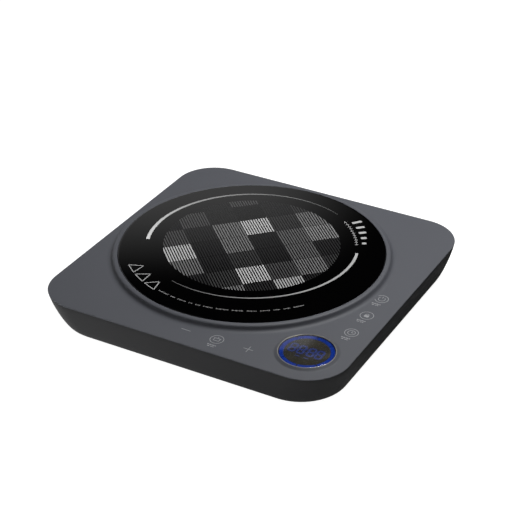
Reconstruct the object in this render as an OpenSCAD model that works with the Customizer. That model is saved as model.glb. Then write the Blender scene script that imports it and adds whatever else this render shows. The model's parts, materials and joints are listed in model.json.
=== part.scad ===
// Portable single-zone induction cooktop: a square deck on a tapered tray, a round glass plate on a low
// plinth, touch keys along two edges, a round display in the corner between them, and the coil, electronics
// and fan inside.
// Units are millimetres. Z is up from the table, X runs to the right along the front edge, Y to the back.

/* [Body] */
// Side of the square deck
deck_w = 290; // [280:1:300]
// Corner radius of the deck
deck_corner_r = 38; // [34:1:42]
// Height of the deck's top above the table
deck_z = 37; // [36.5:0.1:38]
// How far each side wall leans in at the bottom
wall_inset = 10.8; // [9:0.1:11]
// Corner radius of the housing at its bottom edge
bottom_corner_r = 41; // [38:1:42]
// How full the side walls are: 1 is straight, more is rounder
side_round = 1.4; // [1.2:0.05:1.6]
// Thickness of the housing's walls and floor
wall_t = 2.5; // [2:0.1:2.8]
// Thickness of the deck
deck_t = 2.5; // [2:0.1:3]
// Thickness of the deck's edge where it laps the housing
deck_lap = 0.8; // [0.6:0.1:1.2]
// Height of the rubber feet below the housing
foot_h = 3.3; // [3:0.1:3.6]
// Radius of a rubber foot
foot_r = 9; // [8:0.5:10]

/* [Glass] */
// Radius of the glass plate
glass_r = 121.5; // [119:0.5:122]
// Thickness of the glass plate
glass_t = 4; // [3.8:0.1:4.2]
// How far the glass top stands above the deck
glass_rise = 5.3; // [5:0.1:5.6]
// Shift of the cooking zone to the left and to the back
zone_shift = 10.7; // [10:0.1:12]
// Radius of the opening in the deck under the glass
deck_opening_r = 112; // [108:1:114]
// Radius of the plinth where it meets the deck
plinth_base_r = 128.5; // [127:0.5:129]

/* [Controls] */
// Distance of both key rows from the centre lines
key_row = 125.3; // [124:0.1:126]
// Spacing of the keys in a row
key_pitch = 30; // [29:0.5:31]
// Place of the display centre to the right and to the front
display_shift = 106; // [104:0.5:107]
// Outer radius of the metal bezel
bezel_r = 24.6; // [23:0.1:25]
// Height of the display's pod above the deck
pod_h = 1.5; // [1:0.1:2]

/* [Heating] */
// Outer radius of the coil winding
coil_r = 84; // [80:1:85]
// Inner radius of the coil winding
coil_inner_r = 25; // [24:1:28]
// Radius of the litz wire
litz_r = 1.7; // [1.5:0.1:1.75]
// Number of ferrite bars
ferrite_count = 8; // [6:1:8]

/* [Cooling] */
// Side of the square fan frame
fan_w = 92; // [88:1:92]
// Number of fan blades
blade_count = 7; // [5:1:9]
// Pitch of the fan blades
blade_pitch = 38; // [30:1:42]
// Width of a ventilation slot
slot_w = 3; // [2:0.1:3.6]

/* [Hidden] */

$fn = 96;
corner_steps = 20;
thin = 0.02;
overrun = 1;

// Heights
floor_top = foot_h + wall_t;
deck_under = deck_z - deck_t;
rim_z = deck_z - deck_lap;
wall_h = deck_z - foot_h;
glass_top = deck_z + glass_rise;
glass_bottom = glass_top - glass_t;
seal_t = 0.4;
ledge_z = glass_bottom - seal_t;
board_t = 1.6;
power_z = floor_top + 4;
power_top = power_z + board_t;
control_z = 27;
control_top = control_z + board_t;
tray_z = 31;
tray_t = 1.2;
tray_top = tray_z + tray_t;
low_limit = 25.4;

// Plan places
deck_half = deck_w / 2;
zone = [-zone_shift, zone_shift];
display = [display_shift, -display_shift];
fan = [-74, 64];
front_keys = [for (i = [0:2]) [1.5 + key_pitch * i, -key_row]];
side_keys = [for (i = [0:2]) [key_row, -2 - key_pitch * i]];
foot_places = [for (x = [-112, 112], y = [-100, 100]) [x, y]];
cover_bosses = [[-114, -114], [-112, 118], [114, 114], [-42, -122], [122, 42], [66, -104], [104, -66]];
control_bosses = [[16.5, -key_row], [76, -key_row], [key_row, -17], [key_row, -77]];
board_posts = [[-94, -50], [-94, -2], [106, -50], [106, 96], [-12, 97]];
coil_post_r = 97;
coil_posts = [for (a = [0:90:270]) zone + coil_post_r * [cos(a), sin(a)]];
fan_mount = 41.25;
fan_mounts = [for (x = [-1, 1], y = [-1, 1]) fan + fan_mount * [x, y]];

// Screws
screw_r = 1.45;
pilot_r = 1.5;
through_r = 1.7;
head_r = 2.8;
head_h = 2.2;
boss_r = 4.5;
boss_join_z = 20;
screw_seat_z = 8.3;
recess_r = 3.4;

// Cord inlet
inlet = [84, 17];
inlet_wall_y = 129;
inlet_w = 26;
inlet_z0 = 8;
inlet_z1 = 26;
cord_bore_r = 3.6;
clamp_mounts = [for (x = [-9.5, 9.5]) [inlet[0] + x, 111]];

// Rounded square outline with its corners drawn as arcs
function rounded_square(half, r) = rounded_box(half, half, r, corner_steps);

// The same for a rectangle given by its half sides
function rounded_box(half_x, half_y, r, steps) = [
    for (q = [0:3], i = [0:steps])
        let (a = 90 * (q + i / steps), sx = (q == 0 || q == 3) ? 1 : -1, sy = q < 2 ? 1 : -1)
        [sx * (half_x - r) + r * cos(a), sy * (half_y - r) + r * sin(a)]
];

// Half width and corner radius of the housing's outside at a height
function half_at(z) = deck_half - wall_inset * (deck_z - z) / wall_h;
function corner_at(z) = deck_corner_r + (bottom_corner_r - deck_corner_r) * (deck_z - z) / wall_h;

// How far the outside stands out from a straight leaning wall at a height
function bulge(z) =
    let (s = (deck_z - z) / wall_h)
        wall_inset * (s - 1 + pow(1 - pow(s, side_round), 1 / side_round));

// Points along a helix round Z
function helix(r, z0, z1, turns, steps) = [
    for (i = [0:turns * steps])
        let (a = 360 * i / steps)
        [r * cos(a), r * sin(a), z0 + (z1 - z0) * i / (turns * steps)]
];

function unit(v) = v / norm(v);
function heading(p, i) = unit(p[min(i + 1, len(p) - 1)] - p[max(i - 1, 0)]);

// A band of even thickness along a path of 2D points, measured upwards
function band(path, t) = concat(path, [for (i = [len(path) - 1:-1:0]) path[i] + [0, t]]);

module at(p, z = 0) {
    translate([p[0], p[1], z]) children();
}

// A thin slice of the rounded square, inset from the housing's outside at that height
module slice(z, inset) {
    translate([0, 0, z])
        linear_extrude(thin) polygon(rounded_square(half_at(z) - inset, corner_at(z) - inset));
}

// A block between two heights that follows the leaning walls
module tapered_block(z0, z1, inset = 0) {
    hull() {
        slice(z0, inset);
        slice(z1 - thin, inset);
    }
}

// A tube swept along points, up being any direction that the path never takes
module wire(p, r, up = [0, 0, 1], sides = 8) {
    rings = [
        for (i = [0:len(p) - 1])
            let (t = heading(p, i), u = unit(cross(up, t)), v = cross(t, u))
            [for (k = [0:sides - 1]) p[i] + r * (cos(360 * k / sides) * u + sin(360 * k / sides) * v)]
    ];
    last = (len(p) - 1) * sides;
    polyhedron(
        points = [for (ring = rings, q = ring) q],
        faces = concat(
            [[for (k = [0:sides - 1]) k]],
            [for (i = [0:len(p) - 2], k = [0:sides - 1])
                let (a = i * sides, b = a + sides, next = (k + 1) % sides)
                [a + next, a + k, b + k, b + next]],
            [[for (k = [sides - 1:-1:0]) last + k]]
        )
    );
}

// A pan-head screw, driven upwards from below or downwards from above
module screw(length, up = true) {
    mirror([0, 0, up ? 0 : 1]) {
        cylinder(r = screw_r, h = length);
        difference() {
            translate([0, 0, -head_h]) cylinder(r = head_r, h = head_h);
            for (a = [0, 90])
                rotate(a) translate([-1.6, -0.35, -head_h - overrun]) cube([3.2, 0.7, overrun + 1.1]);
        }
    }
}

// A flat ring
module ring(r_out, r_in, h) {
    difference() {
        cylinder(r = r_out, h = h);
        translate([0, 0, -overrun]) cylinder(r = r_in, h = h + 2 * overrun);
    }
}

// A box standing on the power board, placed by its centre
module board_box(p, size) {
    at(p, power_top) translate([-size[0] / 2, -size[1] / 2, 0]) cube(size);
}

// ---- casing ----

plinth_profile = [
    [deck_opening_r, deck_under], [deck_opening_r, ledge_z], [glass_r + 0.4, ledge_z],
    [glass_r + 0.4, glass_top - 0.5], [glass_r + 1.2, glass_top - 0.6], [plinth_base_r - 3.4, deck_z + 1.8],
    [plinth_base_r - 1.6, deck_z + 0.6], [plinth_base_r, deck_z], [plinth_base_r, deck_under]
];
lens_seat_z = deck_z + 0.3;
pod_top = deck_z + pod_h;
display_opening_r = bezel_r - 1.6;

module top_cover() {
    color("#55585f")
    difference() {
        union() {
            hull() {
                slice(rim_z, -bulge(rim_z));
                slice(deck_z - 0.3, -bulge(deck_z - 0.3));
                slice(deck_z - thin, 0.3);
            }
            tapered_block(deck_under, rim_z + thin, wall_t + 0.3);
            at(zone) rotate_extrude($fn = 180) polygon(plinth_profile);
            at(display, deck_under)
                cylinder(r1 = bezel_r + 2.7, r2 = bezel_r + 0.8, h = pod_top - deck_under);
            for (p = cover_bosses)
                at(p, boss_join_z) cylinder(r = boss_r - 0.5, h = deck_under - boss_join_z + thin);
            for (p = control_bosses)
                at(p, control_top) cylinder(r = 3, h = deck_under - control_top + thin);
        }
        at(zone, deck_under - overrun) cylinder(r = deck_opening_r, h = deck_t + 2 * overrun);
        at(zone, ledge_z) cylinder(r = glass_r + 0.4, h = 10);
        at(display, deck_under - overrun) cylinder(r = display_opening_r, h = 10);
        at(display, lens_seat_z) cylinder(r = bezel_r + 0.05, h = 10);
        for (p = cover_bosses) at(p, boss_join_z - overrun) cylinder(r = pilot_r, h = 12);
        for (p = control_bosses) at(p, control_top - overrun) cylinder(r = pilot_r, h = 5.5);
    }
}

module glass_plate() {
    bevel = 0.6;
    color("#0a0a0b")
    at(zone) rotate_extrude($fn = 180) polygon([
        [0, glass_bottom], [glass_r - bevel, glass_bottom], [glass_r, glass_bottom + bevel],
        [glass_r, glass_top - bevel], [glass_r - bevel, glass_top], [0, glass_top]
    ]);
}

module glass_seal() {
    color("#d8d8d2") at(zone, ledge_z) ring(glass_r - 0.6, deck_opening_r + 0.5, seal_t);
}

// ---- housing ----

module floor_slots() {
    at(fan, foot_h - overrun)
        intersection() {
            cylinder(r = 40, h = wall_t + 2 * overrun);
            for (x = [-36:6:36]) translate([x - slot_w / 2, -40, 0]) cube([slot_w, 80, wall_t + 2 * overrun]);
        }
    for (x = [-84:8:-28]) translate([x, -104, foot_h - overrun]) cube([slot_w, 34, wall_t + 2 * overrun]);
    for (x = [4:8:84]) translate([x, 104, foot_h - overrun]) cube([slot_w, 14, wall_t + 2 * overrun]);
}

module rear_slots() {
    for (x = [-88:7:52]) translate([x, 120, 13]) cube([slot_w, 30, 14]);
}

module inlet_pocket_body() {
    intersection() {
        tapered_block(foot_h, rim_z);
        translate([inlet[0] - inlet_w / 2 - wall_t, inlet_wall_y - wall_t, foot_h])
            cube([inlet_w + 2 * wall_t, 40, inlet_z1 + wall_t - foot_h]);
    }
}

module bottom_housing() {
    color("#303134")
    difference() {
        union() {
            difference() {
                hull() {
                    slice(foot_h, 1.4);
                    slice(foot_h + 0.5, 0);
                    for (z = [foot_h + 1.7, foot_h + 5, foot_h + 12, foot_h + 22, rim_z - thin])
                        slice(z, -bulge(z));
                }
                tapered_block(floor_top, rim_z + overrun, wall_t);
            }
            inlet_pocket_body();
            for (p = cover_bosses) at(p, foot_h) cylinder(r = boss_r, h = boss_join_z - foot_h);
            for (p = coil_posts) at(p, foot_h) cylinder(r = boss_r, h = tray_z - foot_h);
            for (p = board_posts) at(p, foot_h) cylinder(r = 3.5, h = power_z - foot_h);
            for (p = fan_mounts) at(p, foot_h) cylinder(r = 4, h = wall_t + 1);
            for (p = clamp_mounts) at(p, foot_h) cylinder(r = 3.5, h = inlet[1] - foot_h);
        }
        floor_slots();
        rear_slots();
        translate([inlet[0] - inlet_w / 2, inlet_wall_y, inlet_z0]) cube([inlet_w, 40, inlet_z1 - inlet_z0]);
        translate([inlet[0], inlet_wall_y + overrun, inlet[1]])
            rotate([90, 0, 0]) cylinder(r = 7, h = wall_t + 2 * overrun);
        for (p = cover_bosses) {
            at(p, foot_h - overrun) cylinder(r = through_r, h = 30);
            at(p, foot_h - overrun) cylinder(r = recess_r, h = screw_seat_z - foot_h + overrun);
        }
        for (p = coil_posts) at(p, tray_z - 12) cylinder(r = pilot_r, h = 20);
        for (p = board_posts) at(p, foot_h + 1) cylinder(r = pilot_r, h = 20);
        for (p = fan_mounts) at(p, foot_h + 1) cylinder(r = pilot_r, h = 20);
        for (p = clamp_mounts) at(p, inlet[1] - 9) cylinder(r = pilot_r, h = 20);
        for (p = foot_places) at(p, foot_h - overrun) cylinder(r = 3.1, h = wall_t + 2 * overrun);
    }
}

module rubber_feet() {
    color("#1b1b1c")
    for (p = foot_places)
        at(p) rotate_extrude() polygon([
            [0, 0], [foot_r - 1.2, 0], [foot_r - 0.3, 0.4], [foot_r, 1.2], [foot_r, foot_h],
            [3, foot_h], [3, floor_top + 0.2], [2.4, floor_top + 0.8], [0, floor_top + 0.8]
        ]);
}

module housing_screws() {
    color("#8d9094") for (p = cover_bosses) at(p, screw_seat_z) screw(20);
}

module cord_gland() {
    y_in = inlet_wall_y - wall_t - 2.5;
    color("#1e1e1f")
    translate([inlet[0], 0, inlet[1]]) rotate([-90, 0, 0]) rotate_extrude() polygon([
        [cord_bore_r, y_in], [8.6, y_in], [8.6, inlet_wall_y - wall_t], [6.9, inlet_wall_y - wall_t],
        [6.9, inlet_wall_y], [8.6, inlet_wall_y], [8.2, inlet_wall_y + 3], [6.2, inlet_wall_y + 6],
        [5.6, inlet_wall_y + 11.5], [5.2, inlet_wall_y + 12], [cord_bore_r, inlet_wall_y + 12]
    ]);
}

module cord_clamp() {
    color("#e7e5dc")
    difference() {
        translate([inlet[0] - 13.5, 107.5, inlet[1]]) cube([27, 7, 5.5]);
        translate([inlet[0], 120, inlet[1]]) rotate([90, 0, 0]) cylinder(r = cord_bore_r - 0.3, h = 20);
        for (p = clamp_mounts) at(p, inlet[1] - overrun) cylinder(r = through_r, h = 10);
    }
}

module cord_clamp_screws() {
    color("#8d9094") for (p = clamp_mounts) at(p, inlet[1] + 5.5) screw(13, false);
}

// ---- display and keys ----

module display_lens() {
    color("#2a2a26") at(display, lens_seat_z) cylinder(r = bezel_r - 0.75, h = pod_top - lens_seat_z);
}

module display_bezel() {
    color("#a09b8a")
    at(display) rotate_extrude() polygon([
        [bezel_r - 0.7, lens_seat_z], [bezel_r, lens_seat_z], [bezel_r, pod_top + 0.1],
        [bezel_r - 0.2, pod_top + 0.3], [bezel_r - 0.5, pod_top + 0.3], [bezel_r - 0.7, pod_top + 0.1]
    ]);
}

segment_r_out = display_opening_r - 0.15;
segment_r_in = segment_r_out - 3;
segment_z = control_top + 1.2;

module light_guide() {
    color("#2f4fd0")
    at(display, segment_z)
        difference() {
            ring(segment_r_out, segment_r_in, lens_seat_z - segment_z);
            for (a = [3.5:45:318.5])
                rotate(a) translate([segment_r_in - 1, -0.6, 1.5]) cube([6, 1.2, 12]);
        }
}

module digit_module() {
    color("#dcdcd6")
        at(display, control_top) translate([-15, -7, 0]) cube([30, 14, lens_seat_z - control_top - 0.4]);
    color("#f4f4f0") for (a = [0:45:315])
        at(display, control_top) rotate(a) translate([segment_r_in + 0.4, -1.4, 0]) cube([2.4, 2.8, 0.9]);
}

module control_board() {
    edge = 134;
    color("#1f6b45")
    difference() {
        intersection() {
            translate([0, 0, control_z]) linear_extrude(board_t) polygon(rounded_square(edge, 31));
            union() {
                translate([-14, -edge, control_z]) cube([edge + 14, 17, board_t]);
                translate([edge - 17, -edge, control_z]) cube([17, edge + 14, board_t]);
                translate([80, -edge, control_z]) cube([54, 54, board_t]);
            }
        }
        for (p = control_bosses) at(p, control_z - overrun) cylinder(r = through_r, h = 4);
    }
    color("#e9e7df") translate([38, -130, control_z - 4]) cube([16, 6, 4]);
}

module control_board_screws() {
    color("#8d9094") for (p = control_bosses) at(p, control_z) screw(5.8);
}

module touch_springs() {
    wire_r = 0.4;
    gap = wire_r + 0.05;
    color("#c9b27a")
    for (p = concat(front_keys, side_keys))
        at(p) wire(helix(4.2, control_top + gap, deck_under - gap, 4, 12), wire_r, sides = 5);
}

module ribbon_cable() {
    path = [
        [-124, 23.4], [-118, 23.4], [-112, 22], [-104, 17], [-98, 14.6],
        [-66, 14.6], [-60, 15.4], [-54, 17.4], [-49, 17.4]
    ];
    color("#c8c8cc")
    translate([41, 0, 0]) rotate([90, 0, 90]) linear_extrude(10) polygon(band(path, 0.6));
    color("#e9e7df")
    difference() {
        translate([39, -54, power_top]) cube([14, 6, 7.6]);
        translate([40.9, -56, 17.3]) cube([10.2, 10, 0.8]);
    }
}

// ---- coil ----

hub_r = 10;
plunger_r = 7;
hub_floor_z = 25.6;

module coil_bracket() {
    color("#b9b5a8")
    at(zone)
        difference() {
            union() {
                translate([0, 0, tray_z]) cylinder(r = coil_r + 6, h = tray_t);
                translate([0, 0, tray_z]) ring(coil_r + 6, coil_r + 4.4, 5.6);
                translate([0, 0, hub_floor_z]) cylinder(r = hub_r, h = tray_z + 5.2 - hub_floor_z);
                for (a = [0:90:270])
                    rotate(a) translate([coil_r + 3, -6, tray_z]) cube([coil_post_r - coil_r - 3, 12, 2.4]);
                for (a = [0:90:270]) rotate(a) translate([coil_post_r, 0, tray_z]) cylinder(r = 6, h = 2.4);
                for (i = [0:ferrite_count - 1], s = [-1, 1])
                    rotate((i + 0.5) * 360 / ferrite_count)
                        translate([24, s * 6.8 - 0.5, tray_z - 3]) cube([52, 1, 3]);
            }
            translate([0, 0, hub_floor_z + 1.4]) cylinder(r = plunger_r + 0.05, h = 20);
            translate([0, 0, hub_floor_z - overrun]) cylinder(r = 2, h = 5);
            for (a = [0:90:270])
                rotate(a) translate([coil_post_r, 0, tray_z - overrun]) cylinder(r = through_r, h = 6);
            for (i = [0:ferrite_count - 1])
                rotate(i * 360 / ferrite_count)
                    translate([34, -4, tray_z - overrun]) cube([40, 8, tray_t + 2 * overrun]);
        }
}

module coil_winding() {
    pitch = 2 * litz_r + 0.2;
    turns = floor((coil_r - coil_inner_r - litz_r) / pitch);
    color("#b5713c")
    at(zone, tray_top + litz_r)
        for (i = [0:turns - 1])
            rotate_extrude($fn = 120)
                translate([coil_inner_r + litz_r + i * pitch, 0]) circle(r = litz_r, $fn = 24);
}

module ferrite_bars() {
    color("#3a3a3c")
    at(zone) for (i = [0:ferrite_count - 1])
        rotate((i + 0.5) * 360 / ferrite_count) translate([24, -6, tray_z - 4.5]) cube([52, 12, 4.5]);
}

module mica_sheet() {
    color("#cfc6ae") at(zone, tray_z + 5.6) ring(coil_r + 5, hub_r + 1, 0.4);
}

module coil_leads() {
    near = [
        [36, -36, 31.9], [36, -36, 28.5], [37, -35, 24.5], [38.5, -32, 21], [41, -27.5, 19.3],
        [44, -24.6, 19], [45.6, -24, 19], [47, -24, 19], [50, -24, 19]
    ];
    far = [
        [55.3, 10.7, 31.9], [55.5, 10.5, 28.5], [58, 4, 25], [61, -8, 22], [63, -24, 20.5], [63.5, -36, 19.6],
        [61.5, -42, 19.1], [59.2, -44, 19], [57, -44, 19], [53, -44, 19]
    ];
    color("#9a5a30") for (path = [near, far]) wire(path, 1.5, [1, -1, 0]);
}

module coil_bracket_screws() {
    color("#8d9094") for (p = coil_posts) at(p, tray_z + 2.4) screw(11, false);
}

spring_z0 = hub_floor_z + 1.4;
spring_z1 = 33;

module sensor_plunger() {
    color("#e8e4d8")
    at(zone) difference() {
        rotate_extrude() polygon([
            [0, spring_z1], [plunger_r, spring_z1], [plunger_r, glass_bottom - 1.1],
            [plunger_r - 1, glass_bottom - 0.1], [0, glass_bottom - 0.1]
        ]);
        translate([0, 0, spring_z1 - overrun]) cylinder(r = 2.2, h = 4);
    }
}

module sensor_spring() {
    wire_r = 0.45;
    color("#b8bbbf")
    at(zone) wire(helix(5, spring_z0 + wire_r + 0.02, spring_z1 - wire_r - 0.02, 4, 16), wire_r, sides = 6);
}

// ---- power electronics ----

module power_board() {
    color("#1f6b45")
    difference() {
        translate([0, 0, power_z]) linear_extrude(board_t)
            polygon([[-100, -56], [112, -56], [112, 102], [-18, 102], [-18, 4], [-100, 4]]);
        at(coil_posts[0], power_z - overrun) cylinder(r = boss_r + 1, h = 4);
        for (p = board_posts) at(p, power_z - overrun) cylinder(r = through_r, h = 4);
    }
}

module power_board_screws() {
    color("#8d9094") for (p = board_posts) at(p, power_top) screw(6.5, false);
}

transistor = [10, 40];
rectifier = [38, 40];
package_t = 5;
sink_z = power_top + package_t;

module heatsink() {
    sink_w = 58;
    sink_l = 70;
    color("#b4b7ba")
    translate([-6, 20, 0]) {
        translate([0, 0, sink_z]) cube([sink_w, sink_l, 2.6]);
        for (i = [0:11])
            translate([0, i * (sink_l - 1.4) / 11, sink_z + 2.6 - thin])
                cube([sink_w, 1.4, low_limit - sink_z - 2.6]);
        for (y = [0, sink_l - 4]) translate([sink_w / 2 - 3, y, power_top]) cube([6, 4, package_t + thin]);
    }
}

// A moulded power package with its legs, lying under the heatsink
module power_package(size, legs) {
    translate([-size[0] / 2, -size[1] / 2, 0]) cube(size);
    for (i = [0:legs - 1])
        translate([(i - (legs - 1) / 2) * 5.4 - 0.6, -size[1] / 2 - 8, 1.6]) {
            cube([1.2, 8.1, 0.6]);
            translate([0, 0, -1.6]) cube([1.2, 0.6, 2.1]);
        }
}

module power_transistor() {
    color("#232325") at(transistor, power_top) power_package([16, 20, package_t], 3);
}

module bridge_rectifier() {
    color("#232325") at(rectifier, power_top) power_package([22, 18, package_t], 4);
}

module thermal_cutout() {
    color("#d9d4c4") at([24, 75], power_top) cylinder(r = 5, h = package_t);
    color("#b8bbbf") at([24, 75], power_top) translate([-9, -1.5, 1]) cube([18, 3, 0.8]);
}

// A box capacitor with rounded upright edges
module film_capacitor(p, size) {
    at(p, power_top) linear_extrude(size[2]) polygon(rounded_box(size[0] / 2, size[1] / 2, 1.2, 4));
}

module dc_link_capacitor() {
    color("#2c4f8f") film_capacitor([88, -15], [32, 18, 13.6]);
}

module resonance_capacitor() {
    color("#9c2f2a") film_capacitor([88, -39], [28, 16, 13.6]);
}

module filter_capacitor() {
    color("#d6a52c") film_capacitor([100, 74], [16, 26, 17]);
}

// A toroidal core with wire turns round it
module toroid_choke(p, r_out, r_in, h, turns) {
    bite = 0.4;
    color("#3f5a3a") at(p, power_top + 2) ring(r_out, r_in, h);
    color("#b5713c") for (i = [0:turns - 1])
        at(p, power_top + 2) rotate(i * 360 / turns)
            difference() {
                translate([r_in - 1, -0.7, -1]) cube([r_out - r_in + 2, 1.4, h + 2]);
                translate([r_in + bite, -overrun, bite]) cube([r_out - r_in - 2 * bite, 4, h - 2 * bite]);
            }
    color("#8a4f28") for (s = [-1, 1])
        at(p, power_top) translate([s * (r_out - 3) - 0.6, -0.6, 0]) cube([1.2, 1.2, 1.5]);
}

module filter_choke() {
    toroid_choke([94, 38], 11, 6, 9, 14);
}

module dc_choke() {
    toroid_choke([-60, -28], 13, 6.5, 9, 16);
}

module electrolytic_capacitors() {
    color("#27303f") for (p = [[18, -42], [32, -42], [18, -26]]) {
        at(p, power_top) cylinder(r = 5, h = 12);
        at(p, power_top + 12 - thin) cylinder(r = 4.4, h = 0.4);
    }
}

module aux_transformer() {
    color("#e0c24a") board_box([-14, -36], [14, 13, 10]);
    color("#3a3a3c") at([-14, -36], power_top) for (s = [-1, 1])
        translate([-9, s * 8.5 - 2, 0]) cube([18, 4, 12]);
    color("#3a3a3c") at([-14, -36], power_top + 10) translate([-9, -6.6, 0]) cube([18, 13.2, 2]);
}

module fuse() {
    color("#d9dcdd") translate([54, 96, power_top + 3.6]) rotate([0, 90, 0]) cylinder(r = 2.4, h = 12);
    color("#c9c9c9") {
        for (x = [49, 66]) translate([x, 96, power_top + 3.6]) rotate([0, 90, 0]) cylinder(r = 2.7, h = 5);
        for (x = [50.5, 67.5]) translate([x, 93, power_top]) cube([2, 6, 2]);
    }
}

module varistor() {
    color("#2c4f8f") translate([80, 78, power_top + 8.5]) rotate([0, 90, 0]) cylinder(r = 6.5, h = 4);
    color("#b8bbbf") for (s = [-1, 1]) translate([81.5, 78 + s * 3.5 - 0.4, power_top]) cube([0.8, 0.8, 4]);
}

module controller_chips() {
    color("#1d1d1f") {
        board_box([0, -14], [10, 6, 1.6]);
        board_box([50, 4], [12, 8, 1.6]);
        board_box([-36, -46], [8, 5, 1.6]);
    }
    color("#b8bbbf") for (i = [0:6], s = [-1, 1])
        at([50, 4], power_top) translate([-5.4 + i * 1.7, s * 4.6 - 0.6, 0]) cube([0.6, 1.2, 0.5]);
}

module coil_terminals() {
    for (y = [-24, -44]) {
        color("#c8a24a") difference() {
            board_box([52, y], [8, 7, 9.6]);
            translate([44, y, 19]) rotate([0, 90, 0]) cylinder(r = 1.6, h = 16);
        }
        color("#8d9094") at([53.5, y], power_top + 9.6 - thin) cylinder(r = 2.4, h = 1.4);
    }
}

module mains_terminals() {
    color("#3c7a4a")
    difference() {
        board_box([88, 95], [20, 9, 11]);
        for (s = [-1, 1]) {
            at([88 + s * 5, 95], power_top + 5) cylinder(r = 1.8, h = 10);
            translate([88 + s * 5, 96, power_top + 3]) rotate([-90, 0, 0]) cylinder(r = 1.9, h = 10);
        }
    }
    color("#8d9094") for (s = [-1, 1]) at([88 + s * 5, 95], power_top + 5) cylinder(r = 1.7, h = 3);
}

module buzzer() {
    color("#1b1b1c") difference() {
        at([96, -124], control_z - 6.5) cylinder(r = 6, h = 6.5);
        at([96, -124], control_z - 7.5) cylinder(r = 1.1, h = 3);
    }
}

// ---- fan ----

fan_z = floor_top + 1;
fan_h = 18;
fan_bore_r = 42;
blade_tip_r = 40.3;
impeller_hub_r = 19;
fan_shaft_r = 1.5;
strut_t = 3;
fan_head_sink = 1.4;
impeller_z = fan_z + 1.4;
impeller_top = fan_z + fan_h - strut_t - 1;

module fan_frame() {
    half = fan_w / 2;
    color("#1c1c1e")
    at(fan, fan_z)
        difference() {
            union() {
                difference() {
                    translate([-half, -half, 0]) cube([fan_w, fan_w, fan_h]);
                    translate([0, 0, -overrun]) cylinder(r = fan_bore_r, h = fan_h + 2 * overrun);
                    for (a = [0:90:270])
                        rotate(a) translate([half - 5.5, -24, 3]) cube([8, 48, fan_h - 6]);
                }
                translate([0, 0, fan_h - strut_t]) cylinder(r = 17, h = strut_t);
                for (a = [45:90:315])
                    rotate(a) translate([15, -1.6, fan_h - strut_t]) cube([fan_bore_r - 14, 3.2, strut_t]);
            }
            for (p = fan_mounts) at(p - fan, -overrun) {
                cylinder(r = through_r + 0.1, h = fan_h + 2 * overrun);
                translate([0, 0, overrun + fan_h - fan_head_sink]) cylinder(r = 3.2, h = fan_h);
            }
            translate([0, 0, fan_h - strut_t - overrun]) cylinder(r = 4, h = strut_t + 2 * overrun);
        }
}

module fan_motor() {
    color("#b5713c")
    at(fan) difference() {
        union() {
            translate([0, 0, fan_z + fan_h - strut_t - 7.4]) cylinder(r = 14, h = 6.2);
            translate([0, 0, impeller_z + 3]) cylinder(r = 3.95, h = fan_z + fan_h - impeller_z - 3.4);
        }
        translate([0, 0, impeller_z]) cylinder(r = fan_shaft_r + 0.05, h = fan_h + 10);
    }
}

module fan_shaft() {
    color("#c4c7ca") at(fan, impeller_z) cylinder(r = fan_shaft_r, h = fan_z + fan_h - 0.8 - impeller_z);
}

module fan_impeller() {
    height = impeller_top - impeller_z;
    color("#26262a")
    at(fan, impeller_z)
        difference() {
            union() {
                cylinder(r = impeller_hub_r, h = height);
                intersection() {
                    ring(blade_tip_r, impeller_hub_r - 1, height);
                    for (i = [0:blade_count - 1])
                        rotate(i * 360 / blade_count)
                            translate([impeller_hub_r - 2, 0, height / 2]) rotate([blade_pitch, 0, 0])
                                translate([0, -9.5, -0.8]) cube([blade_tip_r, 19, 1.6]);
                }
            }
            translate([0, 0, 2]) cylinder(r = impeller_hub_r - 1.8, h = height);
            translate([0, 0, -overrun]) cylinder(r = fan_shaft_r, h = 6);
        }
}

module fan_screws() {
    color("#8d9094") for (p = fan_mounts) at(p, fan_z + fan_h - fan_head_sink) screw(fan_h, false);
}

module fan_lead() {
    path = [
        [-62, 58, 25.6], [-48, 50, 25.6], [-36, 40, 25.6], [-26.6, 32, 25.8], [-25.6, 26, 22.5],
        [-25.6, 16, 19.5], [-25.6, 4, 19.2], [-25.6, 1.3, 19.2]
    ];
    color("#a33a35") wire(path, 0.7, sides = 6);
    color("#e9e7df")
    difference() {
        board_box([-25.6, -1], [8, 6, 9]);
        translate([-25.6, 1, 19.2]) rotate([-90, 0, 0]) cylinder(r = 0.9, h = 10);
    }
}

top_cover();
bottom_housing();
glass_plate();
glass_seal();
display_lens();
display_bezel();
light_guide();
digit_module();
control_board();
control_board_screws();
touch_springs();
ribbon_cable();
coil_bracket();
coil_winding();
ferrite_bars();
mica_sheet();
coil_leads();
coil_bracket_screws();
sensor_plunger();
sensor_spring();
power_board();
power_board_screws();
heatsink();
power_transistor();
bridge_rectifier();
thermal_cutout();
dc_link_capacitor();
resonance_capacitor();
filter_capacitor();
filter_choke();
dc_choke();
electrolytic_capacitors();
aux_transformer();
fuse();
varistor();
controller_chips();
coil_terminals();
mains_terminals();
buzzer();
fan_frame();
fan_motor();
fan_impeller();
fan_shaft();
fan_screws();
fan_lead();
cord_gland();
cord_clamp();
cord_clamp_screws();
rubber_feet();
housing_screws();
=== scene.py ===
"""Studio scene of a portable single-zone induction cooktop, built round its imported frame."""

import json
import logging
import math
from dataclasses import dataclass, field
from enum import Enum
from typing import Callable, Optional, Sequence

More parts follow.
